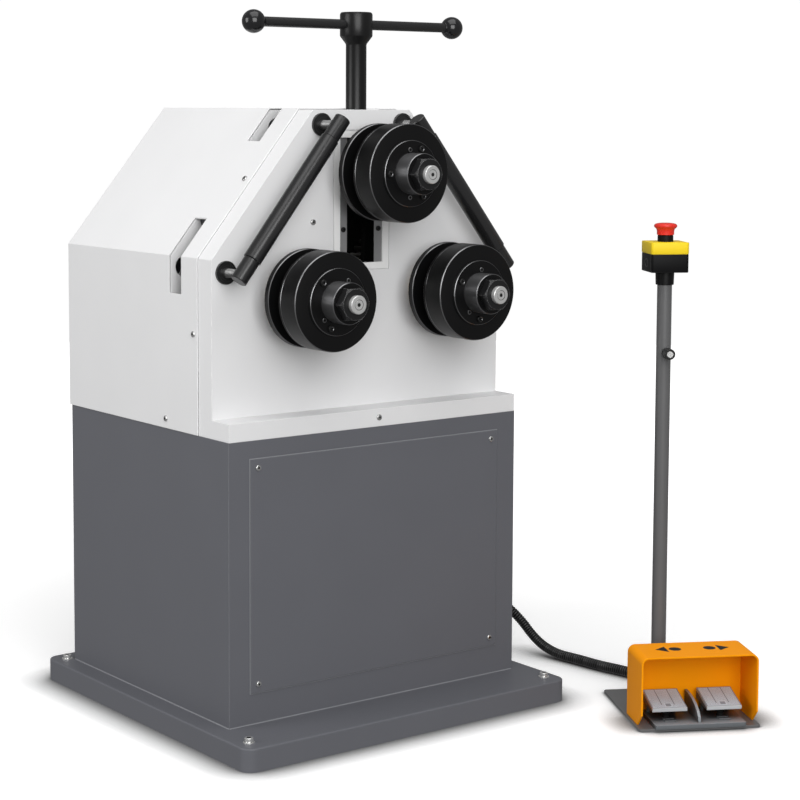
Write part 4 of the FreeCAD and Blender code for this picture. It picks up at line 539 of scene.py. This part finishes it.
for which, (across, height) in roll_spots.items():
    spot = facing((across, 0, height), (0, -1, 0))
    rear = bmesh.new()
    lathe(rear, [(disc_back, bore), (disc_back, 0.0873), (0.2412, roll_radius), (0.2518, roll_radius),
                 (disc_front, 0.0873), (disc_front, 0.0600), (roll_back, 0.0600), (roll_back, bore),
                 (disc_back, bore)], sides=128, finish_of={3: 1})
    settle(f"{which}_rear_disc", rear, [black_oxide, arris_highlight], f"{which}_roll", spot,
           [f"{which}_roll_rear"])
    front = bmesh.new()
    lathe(front, [(roll_back, bore), (roll_back, 0.0867), (0.2852, 0.0881), (0.2858, roll_radius),
                  (0.2904, roll_radius), (0.2913, 0.0880), (0.2915, 0.0875), (0.2920, 0.0876),
                  (0.2925, roll_radius), (0.3330, roll_radius), (0.3346, 0.0872), (roll_face, 0.0862),
                  (roll_face, bore), (roll_back, bore)], sides=128, finish_of={2: 1, 4: 1, 9: 1})
    settle(f"{which}_front_roll", front, [black_oxide, arris_highlight], f"{which}_roll", spot,
           [f"{which}_roll_front"])
    flange = bmesh.new()
    lathe(flange, [(roll_face, bore), (roll_face, 0.0590), (0.3355, flange_radius), (0.3372, flange_radius),
                   (0.3376, 0.0590), (0.3380, 0.0590), (0.3384, flange_radius), (0.3398, flange_radius),
                   (0.3405, 0.0586), (0.3405, 0.0378), (0.3413, boss_radius), (0.3748, boss_radius),
                   (boss_face, 0.0358), (boss_face, bore), (roll_face, bore)],
          sides=96, finish_of={2: 1, 6: 1, 7: 1, 10: 2, 11: 1})
    settle(f"{which}_flange_and_boss", flange, [black_oxide, arris_highlight, turned_steel], f"{which}_roll",
           spot, [f"{which}_clamp_flange"])

    nut = bmesh.new()
    nut_rings, turns = [], [2 * math.pi * k / 72 for k in range(72)]
    for height_of, chamfered in ((boss_face, 0.0007), (0.3767, 0.0), (chamfer_from, 0.0), (0.3906, 0.0),
                                 (0.3922, 0.0), (nut_face, 0.0)):
        cone = hexagon(across_flats, math.pi / 6) + 0.0002 - max(0.0, height_of - chamfer_from) / 0.0045 * 0.0050
        reaches = [min(hexagon(across_flats, turn), cone) - chamfered for turn in turns]
        nut_rings.append([nut.verts.new((reach * math.sin(turn), reach * math.cos(turn), height_of))
                          for turn, reach in zip(turns, reaches)])
    for height_of in (nut_face, boss_face):
        nut_rings.append([nut.verts.new((nut_bore * math.sin(turn), nut_bore * math.cos(turn), height_of))
                          for turn in turns])
    for low, high in zip(nut_rings, nut_rings[1:] + nut_rings[:1]):
        bridge(nut, low, high)
    settle(f"{which}_hexagon_nut", nut, [nut_black], f"{which}_roll", spot, [f"{which}_nut"],
           sharp=18)

    # The nose's groove and its shallow centre hole take the near-black socket finish, a painted shade.
    nose = bmesh.new()
    lathe(nose, [(0.3931, 0.0150), (0.3931, 0.0163), (0.4002, 0.0163), (0.4014, 0.0150), (0.4014, 0.0092),
                 (0.4011, 0.0089), (0.4011, 0.0084), (0.4014, 0.0081), (0.4014, 0.0042), (0.4011, 0.0034),
                 (0.4011, 0.0)], sides=64, finish_of={4: 1, 5: 1, 9: 1})
    settle(f"{which}_shaft_nose", nose, [nose_zinc, socket_shade], f"{which}_roll", spot)

    fasteners = bmesh.new()
    for angle in cap_screw_angles[which]:
        turn = math.radians(angle)
        centre = (cap_screw_circle * math.cos(turn), cap_screw_circle * math.sin(turn))
        lathe(fasteners, [(0.3400, 0.0058), (0.3440, 0.0058), (0.3447, 0.0051), (0.3447, 0.0038),
                          (0.3441, 0.0030), (0.3416, 0.0029), (0.3416, 0.0)], sides=28, centre=centre,
              finish_of={3: 1})
    for angle in grub_angles[which]:
        turn = math.radians(angle)
        centre = (grub_circle * math.cos(turn), grub_circle * math.sin(turn))
        lathe(fasteners, [(0.3400, 0.0044), (0.3413, 0.0044), (0.3419, 0.0039), (0.3419, 0.0024),
                          (0.3404, 0.0022), (0.3404, 0.0)], sides=20, centre=centre, finish_of={1: 1, 2: 1})
    settle(f"{which}_flange_screws", fasteners, [socket_black, arris_highlight], f"{which}_roll",
           spot)
dress(black_oxide, "left_shaft", "right_shaft", "upper_shaft")

# ------------------------------------------------------------------ hand screw and its T-bar
# Black steel stem turned with a collar at its foot and a coned hub, a round bar through the hub
# and a polished black ball pressed on each end of it.
handle_black = finish("handle_black", (0.006, 0.006, 0.0062), 0.32, gloss=0.34, mottle=0.15, grain=0.00002,
                      grain_size=0.0009, turned_lines=0.0012)
screw_back, bar_height, stem_origin, ball_radius = -0.173, 1.286, 1.1, 0.021
stem = bmesh.new()
lathe(stem, [(1.068, 0.0105), (1.068, 0.0136), (1.0684, 0.0140), (1.1309, 0.0140), (1.1313, 0.0144),
             (1.1313, 0.0186), (1.1317, 0.0190), (1.2490, 0.0190), (1.2512, 0.0196), (1.2640, 0.0292),
             (1.2660, 0.0300), (1.3045, 0.0300), (1.3073, 0.0288), (1.3085, 0.0268), (1.3085, 0.0)], sides=72)
for vertex in stem.verts:
    vertex.co.z -= stem_origin
settle("hand_screw_stem", stem, [handle_black], "handle",
       Matrix.Translation((0, screw_back, stem_origin)), ["handle_sleeve"])
bar = bmesh.new()
lathe(bar, [(-0.2180, 0.0), (-0.2180, 0.0086), (-0.2176, 0.0090), (0.2176, 0.0090), (0.2180, 0.0086),
            (0.2180, 0.0)], sides=40)
bar_black = finish("bar_black", (0.016, 0.016, 0.0165), 0.30, gloss=0.42, mottle=0.15, grain=0.00002,
                   grain_size=0.0008)
settle("t_bar", bar, [bar_black], "handle", facing((0, screw_back, bar_height), (1, 0, 0)),
       ["handle_bar"])
balls = bmesh.new()
for hand in (-1, 1):
    profile = [(ball_radius * math.sin(math.radians(a)), ball_radius * math.cos(math.radians(a)))
               for a in range(-64, 91, 7)]
    profile[-1] = (ball_radius, 0.0)
    profile = [(-0.0203, 0.0092), (-0.0203, 0.0100), (-0.0195, 0.0104)] + profile
    lathe(balls, profile, sides=48, where=facing((hand * 0.225, screw_back, bar_height), (hand, 0, 0)))
ball_black = finish("ball_black", (0.010, 0.010, 0.011), 0.16, gloss=0.5, mottle=0.05)
settle("t_bar_balls", balls, [ball_black], "handle", stands_for=["handle_knobs"])

# ------------------------------------------------------------------ side guide bars
# A satin black sleeve turns on a thin core between two end caps. Each cap is held off the front
# plate by a plated stud with a black washer against the plate.
guide_high = Vector((0.092, -0.247, 1.104))
guide_low = Vector((0.298, -0.247, 0.845))
guide_black = finish("guide_black", (0.013, 0.013, 0.0135), 0.27, gloss=0.60, mottle=0.12, grain=0.00002,
                     grain_size=0.0010)
cap_reach, sleeve_inset = 0.014, 0.0313
caps = bmesh.new()
for hand, which in ((-1, "left"), (1, "right")):
    low = Vector((hand * guide_low.x, guide_low.y, guide_low.z))
    high = Vector((hand * guide_high.x, guide_high.y, guide_high.z))
    span = (high - low).length
    spot = facing(low, high - low)
    sleeve = bmesh.new()
    start_at, stop_at = sleeve_inset, span - sleeve_inset
    lathe(sleeve, [(start_at, 0.0112), (start_at, 0.0157), (start_at + 0.001, 0.01675),
                   (stop_at - 0.001, 0.01675), (stop_at, 0.0157), (stop_at, 0.0112), (start_at, 0.0112)], sides=56)
    settle(f"{which}_guide_sleeve", sleeve, [guide_black], f"{which}_guide", spot,
           [f"{which}_guide_roller"])
    for foot, tip, step in ((-cap_reach, 0.031, 0.001), (span + cap_reach, span - 0.031, -0.001)):
        lathe(caps, [(foot, 0.0), (foot, 0.0138), (foot + 1.2 * step, 0.0150), (tip - 0.8 * step, 0.0150),
                     (tip, 0.0142), (tip, 0.0)], sides=48, where=spot)
    lathe(caps, [(0.025, 0.011), (span - 0.025, 0.011)], sides=40, where=spot)
settle("guide_end_caps", caps, [guide_black], "machine", stands_for=["guide_bars"])
stud_zinc = finish("stud_zinc", (0.20, 0.20, 0.20), 0.32, metal=0.9, mottle=0.12)
studs = bmesh.new()
for hand in (-1, 1):
    for spot_of in (guide_high, guide_low):
        out = facing((hand * spot_of.x, 0, spot_of.z), (0, -1, 0))
        lathe(studs, [(0.192, 0.0), (0.192, 0.0206), (0.1924, 0.0210), (0.1963, 0.0210), (0.1970, 0.0203),
                      (0.1970, 0.0165), (0.1962, 0.0158), (0.1962, 0.0120), (0.1962, 0.0088)], sides=48, where=out)
        thread = [(0.2035 + 0.0015 * turn + step, 0.0080 - drop) for turn in range(20)
                  for step, drop in ((0.0, 0.0008), (0.0005, 0.0), (0.0009, 0.0))]
        lathe(studs, [(0.1960, 0.0088), (0.2030, 0.0088), *thread, (0.2400, 0.0076)], sides=36,
              finish_of={band: 1 for band in range(64)}, where=out)
settle("guide_studs_and_washers", studs, [guide_black, stud_zinc], "machine",
       stands_for=["guide_studs"])

# ------------------------------------------------------------------ drive inside the casing
# Gears cut from the same steel mesh in oil behind the front plate. The pinion runs in a cast
# gearbox with a finned motor below it, and a steel box holds the contactors.
gear_steel = finish("gear_steel", (0.34, 0.33, 0.31), 0.30, metal=1.0, mottle=0.15, grain=0.00002,
                    grain_size=0.0010, coat=0.3)
drive_enamel = finish("drive_enamel", (0.17, 0.19, 0.21), 0.45, gloss=0.4, mottle=0.05, grain=0.0002,
                      grain_size=0.0030)
box_enamel = finish("box_enamel", (0.45, 0.46, 0.46), 0.4, gloss=0.4, mottle=0.03, grain=0.00005,
                    grain_size=0.0020)
dress(gear_steel, "left_gear", "right_gear", "drive_pinion")
dress(drive_enamel, "gearbox", "drive_motor")
dress(box_enamel, "control_box")
ease_edges(0.0020, "gearbox")
ease_edges(0.0010, "control_box")

# ------------------------------------------------------------------ pedestal post and its knob
# Round steel post welded to a thin floor plate, both in dark grey paint, with a plastic collar
# under the button box and a knurled clamping knob part way up.
stand_frame_of = Matrix.Translation((0.500, -0.536, 0.0)) @ Matrix.Rotation(math.radians(-28.7), 4, "Z")
# The stand's edges are lightened, a painted highlight.
stand_grey = finish("stand_grey", (0.122, 0.122, 0.124), 0.38, gloss=0.4, mottle=0.05, grain=0.00005,
                    grain_size=0.0015, edge_highlight=(0.20, 0.20, 0.205))
dress(stand_grey, "stand_frame")
ease_edges(0.0008, "stand_frame")
collar_black = finish("collar_black", (0.004, 0.004, 0.0042), 0.40, gloss=0.2, mottle=0.08, grain=0.00004,
                      grain_size=0.0012)
post_axis = stand_frame_of @ Matrix.Translation((-0.018, 0.088, 0))
collar = bmesh.new()
lathe(collar, [(0.802, 0.0141), (0.802, 0.0165), (0.8028, 0.0172), (0.8262, 0.0180), (0.827, 0.0180),
               (0.827, 0.0141), (0.802, 0.0141)], sides=56)
settle("post_collar_sleeve", collar, [collar_black], "machine", post_axis, ["post_collar"])

knob_place = post_axis @ Matrix.Translation((0, 0, 0.673)) @ Matrix.Rotation(math.pi / 2, 4, "X")
knob = bmesh.new()
ridges = 30
knob_levels = [(0.0203, 0.0088), (0.0210, 0.0100), (0.0225, 0.0105), (0.0405, 0.0105), (0.0425, 0.0105)]
knob_rings = []
for height_of, radius in knob_levels:
    grip = 0.0004 if height_of < 0.042 else 0.0
    knob_rings.append([knob.verts.new(((radius - grip * (k % 2)) * math.cos(math.pi * k / ridges),
                                       (radius - grip * (k % 2)) * math.sin(math.pi * k / ridges), height_of))
                       for k in range(2 * ridges)])
for low, high in zip(knob_rings, knob_rings[1:]):
    bridge(knob, low, high)
knob.faces.new(knob_rings[0])
lathe(knob, [(0.0425, 0.0105), (0.0443, 0.0102), (0.0450, 0.0094), (0.0450, 0.0066), (0.0444, 0.0063)], sides=60)
lathe(knob, [(0.0444, 0.0063), (0.0446, 0.0061), (0.0446, 0.0)], sides=60, finish_of={0: 1, 1: 1})
lathe(knob, [(0.0120, 0.0040), (0.0204, 0.0040)], sides=24, finish_of={0: 1})
knob_black = finish("knob_black", (0.005, 0.005, 0.0052), 0.28, gloss=0.45, mottle=0.1)
knob_face = finish("knob_face", (0.72, 0.72, 0.71), 0.28, metal=1.0, mottle=0.05, turned_lines=0.0006)
settle("clamp_knob", knob, [knob_black, knob_face], "post_clamp", knob_place, ["post_knob"])

# ------------------------------------------------------------------ stop button on its box
# Two-part plastic box, black base and yellow lid, with a black bezel and a red mushroom head that
# is pressed down to stop and twisted to release.
# The box's edges are lightened, a painted highlight.
box_black = finish("box_black", (0.0036, 0.0036, 0.004), 0.48, gloss=0.13, mottle=0.05, grain=0.00008,
                   grain_size=0.0011, edge_highlight=(0.13, 0.13, 0.133), edge_round=0.0010)
lid_yellow = finish("lid_yellow", (0.94, 0.68, 0.018), 0.42, gloss=0.22, mottle=0.02, grain=0.00005,
                    grain_size=0.0012)
head_red = finish("head_red", (0.72, 0.030, 0.018), 0.34, gloss=0.36, mottle=0.03)


def soft_box(mesh, half_x, half_y, low, high, corner, ease=0.0012, well=None):
    """A box with round upright corners and small rounds at its top and bottom edges. A well is a round
    hole of a radius from the top down to a height, and goes right through where that is below the box."""
    outline, around = [], []
    for quadrant in range(4):
        sx, sy = ((1, 1), (-1, 1), (-1, -1), (1, -1))[quadrant]
        for step in range(7):
            angle = math.pi / 2 * (quadrant + step / 6)
            outline.append((sx * (half_x - corner), sy * (half_y - corner), math.cos(angle), math.sin(angle)))
            even = math.pi / 2 * (quadrant + (step + 0.5) / 7)
            around.append((math.cos(even), math.sin(even)))
    made = []
    for height_of, inset in ((low, ease), (low + ease * 0.3, ease * 0.3), (low + ease, 0.0), (high - ease, 0.0),
                             (high - ease * 0.3, ease * 0.3), (high, ease)):
        made.append([mesh.verts.new((x + (corner - inset) * cx, y + (corner - inset) * cy, height_of))
                     for x, y, cx, cy in outline])
    through = bool(well) and well[1] < low
    if well:
        for height_of in (high, max(low, well[1])):
            made.append([mesh.verts.new((well[0] * cx, well[0] * cy, height_of)) for cx, cy in around])
    for low_ring, high_ring in zip(made, made[1:] + made[:1] if through else made[1:]):
        bridge(mesh, low_ring, high_ring)
    if not through:
        for ring_of in (made[0], made[-1]):
            mesh.faces.new(ring_of)


box_low, lid_low, lid_top, well_radius = 0.827, 0.8622, 0.884, 0.0100
button_box = bmesh.new()
soft_box(button_box, 0.0364, 0.0364, box_low, 0.8618, 0.0055, well=(well_radius, 0.833))
for hand in (-1, 1):
    for fore in (-1, 1):
        start = len(button_box.verts)
        soft_box(button_box, 0.0017, 0.0017, 0.829, 0.8612, 0.0006, ease=0.0004)
        put(button_box, Matrix.Translation((hand * 0.0352, fore * 0.0290, 0)), start)
lathe(button_box, [(0.0, 0.0100), (0.0005, 0.0098), (0.0005, 0.0088), (-0.0006, 0.0086), (-0.0006, 0.0)], sides=48,
      where=facing((-0.0364, 0.0, 0.8440), (-1, 0, 0)) @ Matrix.Diagonal((1.0, 0.8, 1.0, 1.0)))
settle("button_box_base", button_box, [box_black], "machine", post_axis, ["estop_box_base"])
lid = bmesh.new()
soft_box(lid, 0.0370, 0.0370, lid_low, lid_top, 0.0062, well=(well_radius, 0.8))
soft_box(lid, 0.0360, 0.0360, 0.8618, 0.8624, 0.0056, ease=0.0001, well=(well_radius, 0.8))
settle("button_box_lid", lid, [lid_yellow], "machine", post_axis, ["estop_box_lid"])
bezel = bmesh.new()
lathe(bezel, [(0.8838, 0.00756), (0.8838, 0.0149), (0.8950, 0.0149), (0.8959, 0.0145), (0.8965, 0.0138),
              (0.8965, 0.00756), (0.8838, 0.00756)], sides=64)
settle("button_bezel", bezel, [box_black], "machine", post_axis, ["estop_bezel"])
dress(box_black, "estop_plunger")
head = bmesh.new()
lathe(head, [(0.8970, 0.0152), (0.8970, 0.0160), (0.8974, 0.0163), (0.9040, 0.0164), (0.9068, 0.0170),
             (0.9090, 0.0184), (0.9104, 0.0202), (0.9118, 0.0215), (0.9134, 0.0220), (0.9152, 0.0217),
             (0.9168, 0.0206), (0.9180, 0.0184), (0.9190, 0.0142), (0.9195, 0.0090), (0.9195, 0.0)], sides=72)
lathe(head, [(0.8970, 0.0152), (0.9040, 0.0151), (0.9040, 0.0)], sides=72)
settle("stop_button_head", head, [head_red], "stop_head", post_axis, ["estop_head"])

# ------------------------------------------------------------------ foot switch
# Grey casting with a fin between two light-alloy pedals with a fine grid on their treads, each held
# up by a ribbed rubber spring, under an orange sheet-metal guard.
# The pedals' alloy, the tread's ground and the casting are tinted blue to cancel the orange light the guard throws
# on them; lip_alloy is the same alloy untinted, for the pedals' front lip. The alloys' edges are lightened, a
# painted highlight.
pedal_alloy = finish("pedal_alloy", (0.57, 0.70, 0.80), 0.42, gloss=0.5, mottle=0.08, grain=0.00008,
                     grain_size=0.0016, edge_highlight=(0.60, 0.62, 0.65), edge_round=0.0006)
pedal_shade = finish("pedal_shade", (0.10, 0.11, 0.12), 0.5, gloss=0.4, mottle=0.12, grain=0.00008,
                     grain_size=0.0016)
lip_alloy = finish("lip_alloy", (0.47, 0.485, 0.50), 0.42, gloss=0.5, mottle=0.08, grain=0.00008,
                   grain_size=0.0016, edge_highlight=(0.60, 0.61, 0.62), edge_round=0.0006)
# The tread's ground between and round the pads is darker than the pads, a painted shade.
tread_ground_shade = finish("tread_ground_shade", (0.23, 0.275, 0.315), 0.5, gloss=0.4, mottle=0.1)
# The casting is darkened where it is shut in, under the pedals, a painted shade, and its edges are lightened, a
# painted highlight.
casting_grey = finish("casting_grey", (0.30, 0.325, 0.35), 0.45, gloss=0.5, mottle=0.08, grain=0.00010,
                      grain_size=0.0014, edge_highlight=(0.46, 0.47, 0.48), edge_round=0.0008, corner_shade=0.045)
# The guard's edges are lightened towards yellow, a painted highlight.
guard_orange = finish("guard_orange", (1.0, 0.342, 0.002), 0.42, gloss=0.05, mottle=0.02, grain=0.00005,
                      grain_size=0.0015, edge_highlight=(1.0, 0.46, 0.03), edge_round=0.0008)
spring_black = finish("spring_black", (0.008, 0.008, 0.008), 0.7, gloss=0.1, mottle=0.1)
dress(casting_grey, "pedal_base")
dress(guard_orange, "foot_guard")
dress(zinc_plate, "pedal_pins")
ease_edges(0.0010, "foot_guard")
pedal_middles = (("left", -0.052), ("right", 0.052))


def side_cut(mesh, outline, low, high, finish_index=0):
    """A side outline of (back, height) points, given its thickness across."""
    near, far = ([mesh.verts.new((across, *point)) for point in outline] for across in (low, high))
    bridge(mesh, near, far, finish_index)
    for end in (near, far):
        mesh.faces.new(end).material_index = finish_index


def on_tread(across, run, raised):
    """A point on a pedal's tread, its place measured across and back from the front lip."""
    return Vector((across, -0.108 + run, 0.037 + run * 0.016 / 0.068 + raised))


for which, middle in pedal_middles:
    pedal = bmesh.new()
    side_cut(pedal, [(-0.040, 0.0530), (-0.1072, 0.03719), (-0.1080, 0.0364), (-0.1080, 0.0308), (-0.1074, 0.0300),
                     (-0.1040, 0.0300), (-0.1040, 0.0328), (-0.040, 0.0479)], middle - 0.033, middle + 0.033, 3)
    pedal.faces.ensure_lookup_table()
    pedal.faces[0].material_index = 2
    for low in (middle - 0.0329, middle + 0.0299):
        side_cut(pedal, [(-0.0402, 0.0490), (-0.1030, 0.0342), (-0.1030, 0.0302), (-0.098, 0.0290),
                         (-0.0402, 0.0340)], low, low + 0.003, 1)
    lathe(pedal, [(-0.0219, 0.0), (-0.0219, 0.0090), (0.0219, 0.0090), (0.0219, 0.0)], sides=32,
          finish_of={0: 1, 1: 1, 2: 1}, where=facing((middle, -0.046, 0.038), (1, 0, 0)))
    for column in range(31):
        for row in range(32):
            across, run = -0.030 + 0.002 * column, 0.003 + 0.002 * row
            in_groove = abs(abs(across) - 0.012) < 0.0005 and row > 4
            in_recess = abs(across) < 0.0045 and 2 <= row <= 6
            on_rim = abs(across) < 0.0065 and 1 <= row <= 7 and not in_recess
            if in_groove or in_recess:
                continue
            half = 0.00098 if on_rim else 0.00076
            base, crown = ([pedal.verts.new(on_tread(middle + across + sx * reach, run + sy * reach, raised))
                            for sx, sy in ((-1, -1), (1, -1), (1, 1), (-1, 1))]
                           for reach, raised in ((half, -0.0002), (half - 0.0001, 0.0004)))
            bridge(pedal, base, crown)
            pedal.faces.new(crown)
    settle(f"{which}_pedal_tread", pedal, [pedal_alloy, pedal_shade, tread_ground_shade, lip_alloy],
           f"{which}_foot_pedal", stand_frame_of, [f"{which}_pedal"])

spring_low, spring_high = (corner[2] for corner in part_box("pedal_springs"))
for which, middle in pedal_middles:
    bellows = bmesh.new()
    profile = [(spring_low, 0.0)]
    for step in range(25):
        share = step / 24
        profile.append((spring_low + (spring_high - spring_low) * share,
                        0.0069 + 0.0010 * math.cos(2 * math.pi * 3 * share)))
    lathe(bellows, [*profile, (spring_high, 0.0)], sides=40, centre=(middle, -0.082))
    spring = settle(f"{which}_pedal_spring", bellows, [spring_black], "machine", stand_frame_of,
                    ["pedal_springs"])
    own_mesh(spring)

marks = bmesh.new()
for _, middle in pedal_middles:
    for run in (-0.111, -0.097):
        start = len(marks.verts)
        soft_box(marks, 0.011, 0.0022, 0.0128, 0.0144, 0.0012, ease=0.0004)
        put(marks, Matrix.Translation((middle, run, 0)), start)
settle("casting_marks", marks, [casting_grey], "machine", stand_frame_of)
signs = bmesh.new()
for hand in (-1, 1):
    lathe(signs, [(0.1369, 0.0115), (0.1371, 0.0115), (0.1371, 0.0)], sides=40, centre=(hand * 0.033, -0.070))
    signs.faces.new([signs.verts.new((hand * across, back, 0.1371))
                     for across, back in ((0.049, -0.088), (0.071, -0.070), (0.049, -0.052))])
sign_black = finish("sign_black", (0.012, 0.012, 0.012), 0.55, gloss=0.3)
settle("guard_signs", signs, [sign_black], "machine", stand_frame_of)
